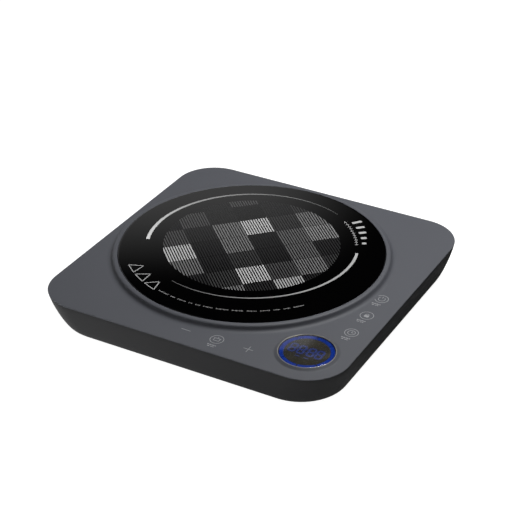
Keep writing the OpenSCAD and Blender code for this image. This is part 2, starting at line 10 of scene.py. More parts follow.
import bmesh
import bpy
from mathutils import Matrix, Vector


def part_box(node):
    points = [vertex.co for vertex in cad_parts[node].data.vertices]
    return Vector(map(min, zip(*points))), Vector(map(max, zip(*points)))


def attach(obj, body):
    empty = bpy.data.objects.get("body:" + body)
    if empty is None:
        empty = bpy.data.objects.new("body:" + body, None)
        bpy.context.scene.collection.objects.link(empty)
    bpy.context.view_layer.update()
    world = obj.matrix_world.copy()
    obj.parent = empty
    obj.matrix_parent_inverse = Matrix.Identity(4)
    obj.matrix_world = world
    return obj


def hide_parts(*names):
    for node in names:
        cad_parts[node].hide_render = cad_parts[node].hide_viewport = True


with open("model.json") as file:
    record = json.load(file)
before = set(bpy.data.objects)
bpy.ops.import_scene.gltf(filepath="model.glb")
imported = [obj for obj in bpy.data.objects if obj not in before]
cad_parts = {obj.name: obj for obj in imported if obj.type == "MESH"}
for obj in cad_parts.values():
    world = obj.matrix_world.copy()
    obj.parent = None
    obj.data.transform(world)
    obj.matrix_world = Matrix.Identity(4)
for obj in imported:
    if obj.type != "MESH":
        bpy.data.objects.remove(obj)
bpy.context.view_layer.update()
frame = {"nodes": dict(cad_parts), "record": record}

logging.basicConfig(level=logging.INFO, format="%(message)s")
log = logging.getLogger("cooktop")

MM = 0.001
HERE = "body"
# Vertices nearer than this count as one, and outlines stand this far apart while they are bridged.
WELD = 0.002 * MM
APART = 0.1
# What unlit ink fades to.
INK_SHADOW = (0.003, 0.003, 0.0035, 1.0)
Point = tuple[float, float]
Triple = tuple[float, float, float]
Piece = bpy.types.Object
Tree = bpy.types.NodeTree
Node = bpy.types.Node
Socket = bpy.types.NodeSocket


def add_node(tree: Tree, kind: str, wires: dict[str | int, object], **settings: object) -> Node:
    """Adds a node to a tree.

    Args:
        tree: The tree.
        kind: The node's type, without its leading "ShaderNode".
        wires: What each input is linked to, or its value.
        **settings: The node's own properties.

    Returns:
        The node.
    """
    node = tree.nodes.new("ShaderNode" + kind)
    for name, value in settings.items():
        setattr(node, name, value)
    fill(tree, node, wires)
    return node


def fill(tree: Tree, node: Node, wires: dict[str | int, object]) -> None:
    """Links or sets the inputs of a node."""
    for name, value in wires.items():
        if isinstance(value, Socket):
            tree.links.new(value, node.inputs[name])
        else:
            node.inputs[name].default_value = value


def start_material(name: str) -> tuple[bpy.types.Material, Tree, Node]:
    """Starts a node material and gives its tree and its shader too."""
    material = bpy.data.materials.new(name)
    material.use_nodes = True
    return material, material.node_tree, material.node_tree.nodes["Principled BSDF"]


class Element(Enum):
    """What a pick in edit mode takes hold of."""

    VERT = "VERT"
    EDGE = "EDGE"
    FACE = "FACE"


class Pattern(Enum):
    """The kind of surface that a finish has."""

    MOULDED = "moulded"
    BRUSHED = "brushed"
    CAST = "cast"
    LAMINATE = "laminate"
    WOUND = "wound"
    POLISHED = "polished"


@dataclass(frozen=True)
class Disc:
    """A round node of the frame, with its centre, radius and heights in metres."""

    x: float
    y: float
    radius: float
    low: float
    high: float

    @classmethod
    def of(cls, node: str) -> "Disc":
        """Measures a round node.

        Args:
            node: The name of the node.

        Returns:
            The node's disc.
        """
        low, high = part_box(node)
        centre = (low + high) / 2
        return cls(centre.x, centre.y, (high.x - low.x) / 2, low.z, high.z)


class Bench:
    """The mesh tools, used on one piece at a time."""

    @staticmethod
    def clear() -> None:
        """Leaves edit mode and deselects everything."""
        if bpy.context.object is not None and bpy.context.object.mode != "OBJECT":
            bpy.ops.object.mode_set(mode="OBJECT")
        bpy.ops.object.select_all(action="DESELECT")

    @staticmethod
    def take(*pieces: Piece) -> Piece:
        """Selects these pieces alone, with the first one active."""
        Bench.clear()
        for piece in pieces:
            piece.select_set(True)
        bpy.context.view_layer.objects.active = pieces[0]
        return pieces[0]

    @staticmethod
    def edit(kind: Element = Element.VERT) -> None:
        """Opens the active piece in edit mode with all of it selected."""
        bpy.ops.object.mode_set(mode="EDIT")
        bpy.ops.mesh.select_mode(type=kind.value)
        bpy.ops.mesh.select_all(action="SELECT")

    @staticmethod
    def pick(kind: Element, test: Callable[[Vector, Vector], bool]) -> int:
        """Selects the elements of the open piece that pass a test.

        Args:
            kind: Vertices, edges or faces.
            test: Takes an element's centre and its normal, or an edge's direction.

        Returns:
            How many were selected.
        """
        bpy.ops.mesh.select_mode(type=kind.value)
        bpy.ops.mesh.select_all(action="DESELECT")
        mesh = bpy.context.edit_object.data
        shape = bmesh.from_edit_mesh(mesh)
        found = 0
        if kind is Element.VERT:
            for vert in shape.verts:
                if test(vert.co, vert.normal):
                    vert.select_set(True)
                    found += 1
        elif kind is Element.EDGE:
            for edge in shape.edges:
                a, b = (v.co for v in edge.verts)
                if test((a + b) / 2, (b - a).normalized()):
                    edge.select_set(True)
                    found += 1
        else:
            for face in shape.faces:
                if test(face.calc_center_median(), face.normal):
                    face.select_set(True)
                    found += 1
        shape.select_flush_mode()
        bmesh.update_edit_mesh(mesh)
        return found

    @staticmethod
    def close(name: str, smooth_deg: Optional[float] = None) -> Piece:
        """Leaves edit mode, names the piece and puts its place into its mesh.

        Args:
            name: The piece's name.
            smooth_deg: Shades smooth below this angle between faces, if given.

        Returns:
            The finished object.
        """
        if bpy.context.object.mode != "OBJECT":
            bpy.ops.object.mode_set(mode="OBJECT")
        piece = bpy.context.object
        Bench.take(piece)
        bpy.ops.object.transform_apply(location=True, rotation=True, scale=True)
        piece.name = name
        piece.data.name = name
        if smooth_deg is not None:
            bpy.ops.object.shade_smooth_by_angle(angle=math.radians(smooth_deg))
        return piece

    @staticmethod
    def weld_outward() -> None:
        """Merges doubled vertices of the open piece and turns its faces outwards."""
        bpy.ops.mesh.select_mode(type="VERT")
        bpy.ops.mesh.select_all(action="SELECT")
        bpy.ops.mesh.remove_doubles(threshold=WELD)
        bpy.ops.mesh.normals_make_consistent(inside=False)

    @staticmethod
    def turn(
        name: str, profile: Sequence[Point], x: float, y: float, steps: int, along: str = "Z",
        smooth_deg: Optional[float] = None,
    ) -> Piece:
        """Turns a profile right round an upright axis, or round one along Y.

        Args:
            name: The piece's name.
            profile: Radius and height pairs in metres, from one end to the other.
            x: Place of the axis.
            y: Place of the axis, or its height when it lies along Y.
            steps: Number of steps in a full turn.
            along: "Z" or "Y".
            smooth_deg: Shades smooth below this angle between faces, if given.

        Returns:
            The turned piece.
        """
        upright = along == "Z"
        radius, height = profile[0]
        start = (x + radius, y, height) if upright else (x + radius, height, y)
        Bench.clear()
        bpy.ops.mesh.primitive_plane_add(size=MM, location=start)
        Bench.edit()
        bpy.ops.mesh.merge(type="CENTER")
        for (r0, h0), (r1, h1) in zip(profile, profile[1:]):
            move = (r1 - r0, 0, h1 - h0) if upright else (r1 - r0, h1 - h0, 0)
            bpy.ops.mesh.extrude_vertices_move(TRANSFORM_OT_translate={"value": move})
        bpy.ops.mesh.select_all(action="SELECT")
        centre, axis = ((x, y, 0), (0, 0, 1)) if upright else ((x, 0, y), (0, 1, 0))
        bpy.ops.mesh.spin(steps=steps, angle=2 * math.pi, center=centre, axis=axis)
        Bench.weld_outward()
        return Bench.close(name, smooth_deg)

    @staticmethod
    def outline(half: float, radius: float, z: float, segments: int) -> None:
        """Adds the edges of a rounded square round the origin to the open piece.

        Args:
            half: Half its side.
            radius: Corner radius.
            z: Height.
            segments: Segments in each corner.
        """
        bpy.ops.mesh.primitive_plane_add(size=2 * half, location=(0, 0, z))
        bpy.ops.mesh.bevel(offset=radius, affect="VERTICES", segments=segments, profile=0.5)
        bpy.ops.mesh.delete(type="ONLY_FACE")

    @staticmethod
    def stack(name: str, levels: Sequence[Triple], segments: int) -> Piece:
        """Bridges rounded squares from one height to the next into an open shell.

        Args:
            name: The piece's name.
            levels: Half side, corner radius and height of each square, in order.
            segments: Segments in each corner.

        Returns:
            The shell, with a face across its first and last square.
        """
        Bench.clear()
        bpy.ops.mesh.primitive_plane_add(size=1, location=(0, 0, 0))
        Bench.edit()
        bpy.ops.mesh.delete(type="VERT")
        places = [z + APART * index for index, (_, _, z) in enumerate(levels)]
        for (half, radius, _), place in zip(levels, places):
            Bench.outline(half, radius, place, segments)
        for low, high in zip(places, places[1:]):
            Bench.pick(Element.EDGE, lambda c, n, a=low, b=high: min(abs(c.z - a), abs(c.z - b)) < WELD)
            bpy.ops.mesh.bridge_edge_loops()
        for end in (places[0], places[-1]):
            Bench.pick(Element.EDGE, lambda c, n, a=end: abs(c.z - a) < WELD)
            bpy.ops.mesh.edge_face_add()
        for _ in levels[1:]:
            Bench.pick(Element.VERT, lambda c, n: c.z > 0.6 * APART)
            bpy.ops.transform.translate(value=(0, 0, -APART))
        Bench.weld_outward()
        return Bench.close(name)

    @staticmethod
    def cylinder(radius: float, low: float, high: float, x: float, y: float, vertices: int = 32) -> Piece:
        """A plain upright cutter or blank between two heights."""
        Bench.clear()
        bpy.ops.mesh.primitive_cylinder_add(
            vertices=vertices, radius=radius, depth=high - low, location=(x, y, (low + high) / 2)
        )
        return Bench.close("blank")

    @staticmethod
    def slab(low: Sequence[float], high: Sequence[float], rounded: float = 0.0, along: str = "Z") -> Piece:
        """A block between two corners, whose edges along one axis can be rounded.

        Args:
            low: The lowest corner.
            high: The highest corner.
            rounded: Radius of the rounded edges.
            along: The axis that those edges follow.

        Returns:
            The block.
        """
        middle = [(a + b) / 2 for a, b in zip(low, high)]
        Bench.clear()
        bpy.ops.mesh.primitive_cube_add(size=1, location=middle, scale=[b - a for a, b in zip(low, high)])
        block = Bench.close("block")
        if rounded:
            axis = "XYZ".index(along)
            Bench.edit()
            Bench.pick(Element.EDGE, lambda c, n: abs(n[axis]) > 0.9)
            bpy.ops.mesh.bevel(offset=rounded, segments=6, profile=0.5)
            Bench.close("block")
        return block

    @staticmethod
    def modify(piece: Piece, kind: str, **settings: object) -> None:
        """Gives a piece a modifier with these settings and applies it."""
        Bench.take(piece)
        tool = piece.modifiers.new("tool", kind)
        for name, value in settings.items():
            setattr(tool, name, value)
        bpy.ops.object.modifier_apply(modifier=tool.name)

    @staticmethod
    def repeat(piece: Piece, count: int, step: Sequence[float]) -> Piece:
        """Repeats a piece in a row, within its own mesh.

        Args:
            piece: The piece.
            count: How many there are in the end.
            step: The way from one to the next.

        Returns:
            The same piece.
        """
        Bench.modify(
            piece, "ARRAY", count=count, use_relative_offset=False, use_constant_offset=True,
            constant_offset_displace=step,
        )
        return piece

    @staticmethod
    def join(*pieces: Piece) -> Piece:
        """Joins pieces into the first one."""
        first = Bench.take(*pieces)
        if len(pieces) > 1:
            bpy.ops.object.join()
        return first

    @staticmethod
    def cut(piece: Piece, cutter: Piece, how: str = "DIFFERENCE") -> None:
        """Cuts one piece with another, which is used up, by a boolean operation."""
        Bench.modify(piece, "BOOLEAN", operation=how, solver="EXACT", object=cutter)
        bpy.data.objects.remove(cutter, do_unlink=True)


class Effects:
    """Shader groups that several finishes share, each built once."""

    _made: dict[str, Tree] = {}

    @classmethod
    def _group(
        cls, name: str, inputs: Sequence[tuple[str, str, object]], outputs: Sequence[tuple[str, str]]
    ) -> tuple[Tree, dict[str, Socket], Node]:
        """Starts a group and gives its tree, its given values and its end node."""
        tree = cls._made[name] = bpy.data.node_groups.new(name, "ShaderNodeTree")
        for label, kind, start in inputs:
            socket = tree.interface.new_socket(name=label, in_out="INPUT", socket_type="NodeSocket" + kind)
            if start is not None:
                socket.default_value = start
        for label, kind in outputs:
            tree.interface.new_socket(name=label, in_out="OUTPUT", socket_type="NodeSocket" + kind)
        given = {socket.name: socket for socket in tree.nodes.new("NodeGroupInput").outputs if socket.name}
        return tree, given, tree.nodes.new("NodeGroupOutput")

    @classmethod
    def grain(cls) -> Tree:
        """Spark-eroded grain: a height made of a fine and a coarse noise."""
        name = "surface_grain"
        if name not in cls._made:
            tree, given, out = cls._group(
                name, [("Vector", "Vector", None), ("Frequency", "Float", 1000.0)], [("Height", "Float")]
            )
            place, frequency = given["Vector"], given["Frequency"]
            fine = add_node(
                tree, "TexNoise", {"Vector": place, "Scale": frequency, "Detail": 3.0, "Roughness": 0.6}
            )
            coarse = add_node(tree, "Math", {0: frequency, 1: 0.55}, operation="MULTIPLY")
            pits = add_node(
                tree, "TexVoronoi", {"Vector": place, "Scale": coarse.outputs[0]}, feature="SMOOTH_F1"
            )
            both = {0: pits.outputs["Distance"], 1: 0.5, 2: fine.outputs["Fac"]}
            height = add_node(tree, "Math", both, operation="MULTIPLY_ADD")
            fill(tree, out, {"Height": height.outputs[0]})
        return cls._made[name]

    @classmethod
    def tone(cls) -> Tree:
        """Slow changes of colour and roughness over a surface, with a few fine specks."""
        name = "patchy_tone"
        if name not in cls._made:
            tree, given, out = cls._group(
                name,
                [
                    ("Vector", "Vector", None), ("Colour", "Color", (0.5, 0.5, 0.5, 1.0)),
                    ("Roughness", "Float", 0.5), ("Amount", "Float", 0.1), ("Frequency", "Float", 30.0),
                ],
                [("Colour", "Color"), ("Roughness", "Float")],
            )
            patches = add_node(
                tree, "TexNoise", {"Vector": given["Vector"], "Scale": given["Frequency"], "Detail": 4.0}
            )
            middle = add_node(tree, "Math", {0: patches.outputs["Fac"], 1: 0.5}, operation="SUBTRACT")
            swing = add_node(tree, "Math", {0: middle.outputs[0], 1: given["Amount"]}, operation="MULTIPLY")
            value = add_node(tree, "Math", {0: swing.outputs[0], 1: 1.0})
            shade = add_node(tree, "HueSaturation", {"Value": value.outputs[0], "Color": given["Colour"]})
            swung = {0: swing.outputs[0], 1: 0.6, 2: given["Roughness"]}
            rough = add_node(tree, "Math", swung, operation="MULTIPLY_ADD", use_clamp=True)
            fill(tree, out, {"Colour": shade.outputs["Color"], "Roughness": rough.outputs[0]})
        return cls._made[name]

    @classmethod
    def streaks(cls) -> Tree:
        """Long fine lines along X, as on drawn, brushed or wound metal."""
        name = "drawn_lines"
        if name not in cls._made:
            tree, given, out = cls._group(
                name, [("Vector", "Vector", None), ("Frequency", "Float", 1500.0)], [("Height", "Float")]
            )
            stretch = add_node(tree, "Mapping", {"Vector": given["Vector"], "Scale": (0.04, 1.0, 1.0)})
            lines = {"Vector": stretch.outputs["Vector"], "Scale": given["Frequency"], "Detail": 2.0}
            noise = add_node(tree, "TexNoise", lines)
            fill(tree, out, {"Height": noise.outputs["Fac"]})
        return cls._made[name]

    @classmethod
    def weave(cls) -> Tree:
        """Glass-cloth weave and printed tracks under a circuit board's lacquer."""
        name = "board_weave"
        if name not in cls._made:
            tree, given, out = cls._group(
                name,
                [("Vector", "Vector", None), ("Frequency", "Float", 900.0)],
                [("Height", "Float"), ("Tracks", "Float")],
            )
            threads = {"Vector": given["Vector"], "Scale": given["Frequency"]}
            waves = [add_node(tree, "TexWave", threads, bands_direction=axis).outputs["Fac"] for axis in "XY"]
            height = add_node(tree, "Math", dict(enumerate(waves)))
            tracks = add_node(
                tree,
                "TexBrick",
                {
                    "Vector": given["Vector"], "Scale": 90.0, "Mortar Size": 0.03, "Color1": (0, 0, 0, 1),
                    "Color2": (0.25, 0.25, 0.25, 1), "Mortar": (1, 1, 1, 1),
                },
            )
            fill(tree, out, {"Height": height.outputs[0], "Tracks": tracks.outputs["Color"]})
        return cls._made[name]


def add_tone(tree: Tree, place: Socket, colour: Triple, rough: float, amount: float, patch_mm: float) -> Node:
    """Adds the patchy tone to a material.

    Args:
        tree: The material's tree.
        place: The place on the surface.
        colour: The middle colour.
        rough: The middle roughness.
        amount: How far the tone swings.
        patch_mm: The size of its patches in millimetres.

    Returns:
        The group node.
    """
    tone = add_node(tree, "Group", {}, node_tree=Effects.tone())
    values = {"Vector": place, "Colour": (*colour, 1.0), "Roughness": rough, "Amount": amount}
    fill(tree, tone, {**values, "Frequency": 1 / (patch_mm * MM)})
    return tone


@dataclass(frozen=True)
class Finish:
    """One material of the cooktop."""

    name: str
    colour: Triple
    roughness: float = 0.5
    pattern: Pattern = Pattern.MOULDED
    metallic: float = 0.0
    specular: float = 0.5
    grain_mm: float = 0.5
    grain_depth_mm: float = 0.02
    mottle: float = 0.12
    patch_mm: float = 25.0
    coat: float = 0.0
    transmission: float = 0.0
    ior: float = 1.5
    glow: Triple = (0.0, 0.0, 0.0)
    glow_strength: float = 0.0

    def make(self) -> bpy.types.Material:
        """Builds the node material.

        Returns:
            The material, made anew.
        """
        material, tree, shader = start_material(self.name)
        place = tree.nodes.new("ShaderNodeTexCoord").outputs["Object"]
        tone = add_tone(tree, place, self.colour, self.roughness, self.mottle, self.patch_mm)
        colour = tone.outputs["Colour"]
        effect = {
            Pattern.BRUSHED: Effects.streaks,
            Pattern.WOUND: Effects.streaks,
            Pattern.LAMINATE: Effects.weave,
        }.get(self.pattern, Effects.grain)
        relief = add_node(tree, "Group", {}, node_tree=effect())
        fill(tree, relief, {"Frequency": 1 / (self.grain_mm * MM), "Vector": place})
        if self.pattern is Pattern.LAMINATE:
            bright = tuple(min(1.0, 2.2 * c) for c in self.colour) + (1.0,)
            tracks = {"Factor": relief.outputs["Tracks"], "A": colour, "B": bright}
            colour = add_node(tree, "Mix", tracks, data_type="RGBA").outputs["Result"]
        height = {"Strength": 1.0, "Distance": self.grain_depth_mm * MM, "Height": relief.outputs["Height"]}
        fill(
            tree,
            shader,
            {
                "Base Color": colour,
                "Metallic": self.metallic,
                "Roughness": tone.outputs["Roughness"],
                "IOR": self.ior,
                "Normal": add_node(tree, "Bump", height).outputs["Normal"],
                "Specular IOR Level": self.specular,
                "Transmission Weight": self.transmission,
                "Coat Weight": self.coat,
                "Coat Roughness": 0.08,
                "Emission Color": (*self.glow, 1.0),
                "Emission Strength": self.glow_strength,
            },
        )
        return material


@dataclass(frozen=True)
class InkFinish:
    """Printed ink whose brightness follows the piece's own tone attribute."""

    name: str
    colour: Triple
    roughness: float = 0.3
    coat: float = 0.3

    def make(self) -> bpy.types.Material:
        """Builds the ink's material.

        Returns:
            The material, made anew.
        """
        material, tree, shader = start_material(self.name)
        place = tree.nodes.new("ShaderNodeTexCoord").outputs["Object"]
        tone = add_tone(tree, place, self.colour, self.roughness, 0.12, 2.5)
        strength = add_node(tree, "Attribute", {}, attribute_name="tone")
        shades = {"Factor": strength.outputs["Fac"], "A": INK_SHADOW, "B": tone.outputs["Colour"]}
        dim = add_node(tree, "Mix", shades, data_type="RGBA")
        fill(
            tree,
            shader,
            {
                "Base Color": dim.outputs["Result"],
                "Roughness": tone.outputs["Roughness"],
                "Specular IOR Level": 0.35,
                "Coat Weight": self.coat,
            },
        )
        return material


DECK = Finish(
    "deck_plastic", (0.092, 0.096, 0.110), 0.55, specular=0.3, grain_mm=0.28, grain_depth_mm=0.012,
    mottle=0.05, patch_mm=60,
)
HOUSING = Finish(
    "housing_plastic", (0.026, 0.0262, 0.0275), 0.62, specular=0.14, grain_mm=0.35, grain_depth_mm=0.018,
    mottle=0.08, patch_mm=45,
)
GLASS = Finish(
    "black_glass", (0.0008, 0.0008, 0.0009), 0.045, Pattern.POLISHED, grain_mm=9, grain_depth_mm=0.0006,
    mottle=0.03, patch_mm=35, ior=1.5,
)
LENS = Finish(
    "smoked_lens", (0.60, 0.58, 0.55), 0.06, Pattern.POLISHED, transmission=1.0, ior=1.45, grain_mm=6,
    grain_depth_mm=0.0005, mottle=0.04, patch_mm=12,
)
BEZEL = Finish(
    "bezel_metal", (0.34, 0.32, 0.27), 0.38, Pattern.BRUSHED, metallic=0.35, grain_mm=0.12,
    grain_depth_mm=0.004, mottle=0.10, patch_mm=8,
)
BLUE = Finish(
    "blue_light", (0.01, 0.025, 0.16), 0.4, grain_mm=0.8, grain_depth_mm=0.01, mottle=0.1, patch_mm=6,
    glow=(0.02, 0.085, 0.62), glow_strength=0.46,
)
# The display panel's glow is painted light: it stands in for the studio light that reaches the panel through
# the smoked window, though the panel is no lamp.
PANEL_WITH_PAINTED_LIGHT = Finish(
    "digit_plastic", (0.04, 0.038, 0.033), 0.8, specular=0.1, grain_mm=0.3, grain_depth_mm=0.002,
    mottle=0.06, patch_mm=10, glow=(0.075, 0.072, 0.056), glow_strength=0.62,
)
DIGIT = Finish(
    "digit_glow", (0.02, 0.03, 0.12), 0.4, grain_mm=0.5, grain_depth_mm=0.01, mottle=0.1, patch_mm=4,
    glow=(0.03, 0.075, 0.46), glow_strength=0.6,
)
GLASS_INK = InkFinish("glass_ink", (0.82, 0.82, 0.82))
DECK_INK = InkFinish("deck_ink", (0.33, 0.335, 0.35), roughness=0.5, coat=0.0)

CAD_FINISHES: dict[str, Finish] = {
    finish.name: finish
    for finish in (
        DECK, HOUSING, GLASS, LENS, BEZEL, BLUE, PANEL_WITH_PAINTED_LIGHT,
        Finish("silicone", (0.62, 0.62, 0.58), 0.45, grain_mm=0.6, mottle=0.06),
        Finish(
            "circuit_board", (0.012, 0.12, 0.055), 0.35, Pattern.LAMINATE, grain_mm=1.1,
            grain_depth_mm=0.01, coat=0.3,
        ),
        Finish(
            "screw_steel", (0.50, 0.51, 0.53), 0.32, Pattern.BRUSHED, metallic=1.0, grain_mm=0.15,
            grain_depth_mm=0.004,
        ),
        Finish(
            "spring_steel", (0.55, 0.52, 0.44), 0.28, Pattern.BRUSHED, metallic=1.0, grain_mm=0.1,
            grain_depth_mm=0.003,
        ),
        Finish(
            "ribbon_pvc", (0.52, 0.53, 0.56), 0.42, Pattern.WOUND, grain_mm=1.0, grain_depth_mm=0.08,
            mottle=0.08,
        ),
        Finish("bracket_plastic", (0.42, 0.39, 0.33), 0.55, grain_mm=0.6, mottle=0.12),
        Finish(
            "copper", (0.72, 0.30, 0.14), 0.30, Pattern.WOUND, metallic=1.0, grain_mm=0.35,
            grain_depth_mm=0.05, mottle=0.22, patch_mm=6,
        ),
        Finish(
            "ferrite", (0.035, 0.035, 0.038), 0.62, Pattern.CAST, grain_mm=0.9, grain_depth_mm=0.05,
            mottle=0.25, patch_mm=7,
        ),
        Finish(
            "mica", (0.56, 0.50, 0.36), 0.34, Pattern.CAST, grain_mm=2.5, grain_depth_mm=0.02, mottle=0.35,
            patch_mm=9, coat=0.3,
        ),
        Finish("sensor_ceramic", (0.72, 0.69, 0.60), 0.40, Pattern.CAST, grain_mm=0.7, mottle=0.10),
        Finish(
            "sink_aluminium", (0.62, 0.63, 0.65), 0.34, Pattern.BRUSHED, metallic=1.0, grain_mm=0.3,
            grain_depth_mm=0.01,
        ),
        Finish("black_epoxy", (0.016, 0.016, 0.017), 0.48, grain_mm=0.4, mottle=0.15, patch_mm=6),
        Finish("cutout_body", (0.62, 0.57, 0.45), 0.42, grain_mm=0.5, mottle=0.12),
        Finish(
            "blue_coat", (0.025, 0.085, 0.30), 0.30, grain_mm=1.4, grain_depth_mm=0.02, mottle=0.12,
            coat=0.4,
        ),
        Finish(
            "red_coat", (0.33, 0.028, 0.022), 0.30, grain_mm=1.4, grain_depth_mm=0.02, mottle=0.12,
            coat=0.4,
        ),
        Finish(
            "yellow_coat", (0.68, 0.37, 0.03), 0.34, grain_mm=1.2, grain_depth_mm=0.02, mottle=0.10,
            coat=0.3,
        ),
        Finish(
            "choke_core", (0.045, 0.10, 0.04), 0.45, Pattern.CAST, grain_mm=0.6, grain_depth_mm=0.03,
            mottle=0.2,
        ),
        Finish("can_sleeve", (0.02, 0.028, 0.05), 0.28, grain_mm=1.0, mottle=0.1, coat=0.4),
        Finish(
            "transformer_tape", (0.72, 0.52, 0.07), 0.36, Pattern.WOUND, grain_mm=1.2, grain_depth_mm=0.02,
            coat=0.2,
        ),
        Finish(
            "fuse_glass", (0.70, 0.72, 0.73), 0.12, Pattern.POLISHED, grain_mm=3, grain_depth_mm=0.002,
            mottle=0.05,
        ),
        Finish("chip_epoxy", (0.012, 0.012, 0.013), 0.52, grain_mm=0.25, mottle=0.12, patch_mm=5),
        Finish(
            "terminal_brass", (0.62, 0.44, 0.14), 0.28, Pattern.BRUSHED, metallic=1.0, grain_mm=0.2,
            grain_depth_mm=0.005,
        ),
        Finish("terminal_green", (0.04, 0.22, 0.075), 0.45, grain_mm=0.5, mottle=0.1),
        Finish(
            "fan_plastic", (0.014, 0.014, 0.016), 0.42, grain_mm=0.5, grain_depth_mm=0.015, mottle=0.15,
            patch_mm=15,
        ),
        Finish("lead_pvc", (0.36, 0.035, 0.03), 0.36, grain_mm=0.8, mottle=0.1, patch_mm=8),
        Finish(
            "gland_rubber", (0.013, 0.013, 0.014), 0.62, grain_mm=0.5, grain_depth_mm=0.03, mottle=0.2,
            patch_mm=8,
        ),
        Finish("clamp_nylon", (0.74, 0.72, 0.64), 0.42, grain_mm=0.6, mottle=0.1),
        Finish(
            "foot_rubber", (0.018, 0.018, 0.018), 0.7, grain_mm=0.6, grain_depth_mm=0.05, mottle=0.25,
            patch_mm=6,
        ),
    )
}


class Dresser:
    """Puts finishes on pieces and on the frame's own nodes."""

    def __init__(self) -> None:
        """Starts with no material made."""
        self._made: dict[str, bpy.types.Material] = {}

    def material(self, finish: Finish | InkFinish) -> bpy.types.Material:
        """The material of a finish, made on its first use."""
        if finish.name not in self._made:
            self._made[finish.name] = finish.make()
        return self._made[finish.name]

    def dress(self, piece: Piece, finish: Finish | InkFinish) -> None:
        """Gives a whole piece one finish."""
        piece.data.materials.clear()
        piece.data.materials.append(self.material(finish))

    def dress_nodes(self) -> int:
        """Gives every node of the frame the finish of its slot.

        Returns:
            How many nodes were dressed.
        """
        slots = {part["node"]: part["material_slot"] for part in frame["record"]["subparts"]}
        for name, node in frame["nodes"].items():
            material = self.material(CAD_FINISHES[slots[name]])
            for index in range(max(1, len(node.data.materials))):
                if index < len(node.data.materials):
                    node.data.materials[index] = material
                else:
                    node.data.materials.append(material)
        return len(slots)

    def fit(self, piece: Piece, finish: Finish | InkFinish, slot: str, *nodes: str) -> Piece:
        """Dresses a piece, lets it ride with the body and hides the frame's nodes that it replaces.

        Args:
            piece: The finished piece.
            finish: Its finish.
            slot: The record's slot that the finish belongs to; not used.
            *nodes: The frame's nodes that the piece replaces.

        Returns:
            The same piece.
        """
        self.dress(piece, finish)
        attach(piece, HERE)
        if nodes:
            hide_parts(*nodes)
        log.info("%s: %d faces", piece.name, len(piece.data.polygons))
        return piece


@dataclass
class InkSheet:
    """Flat printed marks that lie on a surface as one thin piece."""

    name: str
    z: float
    thickness: float = 0.03 * MM
    parts: list[Piece] = field(default_factory=list)

    def bar(self, x: float, y: float, length: float, width: float, turn_deg: float = 0.0) -> None:
        """Adds a straight bar with rounded ends, given by its middle."""
        Bench.clear()
        turn = math.radians(turn_deg)
        bpy.ops.mesh.primitive_plane_add(size=1, location=(x, y, self.z), rotation=(0, 0, turn))
        bpy.context.object.scale = (length, width, 1)
        Bench.close("bar")
        Bench.edit()
        bpy.ops.mesh.bevel(offset=0.3 * min(length, width), affect="VERTICES", segments=3)
        self.parts.append(Bench.close("bar"))

    def ring(
        self, x: float, y: float, radius: float, width: float, start_deg: float = 0.0, end_deg: float = 360.0,
        taper_deg: Optional[float] = None, steps: int = 48,
    ) -> Piece:
        """Adds a ring or an arc of one.

        Args:
            x: Middle of the ring.
            y: Middle of the ring.
            radius: Outer radius.
            width: Width of the line, or its greatest width where it tapers.
            start_deg: Where the arc starts, counted from +X.
            end_deg: Where it ends.
            taper_deg: The direction of the widest place, from which the line thins both ways.
            steps: Number of steps in a full ring.

        Returns:
            The mark.
        """
        inner, middle = radius - width, (x, y, self.z)
        if taper_deg is not None:
            inner = radius - width / 2
            shift_x = -width / 2 * math.cos(math.radians(taper_deg))
            shift_y = -width / 2 * math.sin(math.radians(taper_deg))
            middle = (x + shift_x, y + shift_y, self.z)
        Bench.clear()
        bpy.ops.mesh.primitive_circle_add(vertices=steps, radius=radius, location=(x, y, self.z))
        Bench.edit()
        bpy.ops.mesh.primitive_circle_add(vertices=steps, radius=inner, location=middle)
        bpy.ops.mesh.select_all(action="SELECT")
        bpy.ops.mesh.bridge_edge_loops()
        span = end_deg - start_deg
        if span < 360 and Bench.pick(
            Element.FACE, lambda c, n: (math.degrees(math.atan2(c.y, c.x)) - start_deg) % 360 > span
        ):
            bpy.ops.mesh.delete(type="FACE")
        mark = Bench.close("ring")
        self.parts.append(mark)
        return mark

    def shape(self, corners: Sequence[Point], width: float) -> None:
        """Adds a closed outline of straight bars through these corners."""
        for (x0, y0), (x1, y1) in zip(corners, [*corners[1:], corners[0]]):
            length = math.hypot(x1 - x0, y1 - y0) + width
            self.bar((x0 + x1) / 2, (y0 + y1) / 2, length, width, math.degrees(math.atan2(y1 - y0, x1 - x0)))

    def build(self, tone: Callable[[Vector], float]) -> Piece:
        """Joins the marks, gives them their thickness and writes their tone.

        Args:
            tone: The brightness, from 0 to 1, at a place.

        Returns:
            The printed piece.
        """
        piece = Bench.join(*self.parts)
        Bench.edit(Element.FACE)
        bpy.ops.mesh.normals_make_consistent(inside=False)
        if Bench.pick(Element.FACE, lambda c, n: n.z < 0):
            bpy.ops.mesh.flip_normals()
        Bench.close(self.name)
        Bench.modify(piece, "SOLIDIFY", thickness=self.thickness, offset=1.0, use_even_offset=True)
        write_tone(piece, tone)
        return piece


def write_tone(piece: Piece, tone: Callable[[Vector], float]) -> None:
    """Writes the tone attribute of every face from its place."""
    values = [max(0.0, min(1.0, tone(face.center))) for face in piece.data.polygons]
    attribute = piece.data.attributes.new("tone", "FLOAT", "FACE")
    attribute.data.foreach_set("value", values)


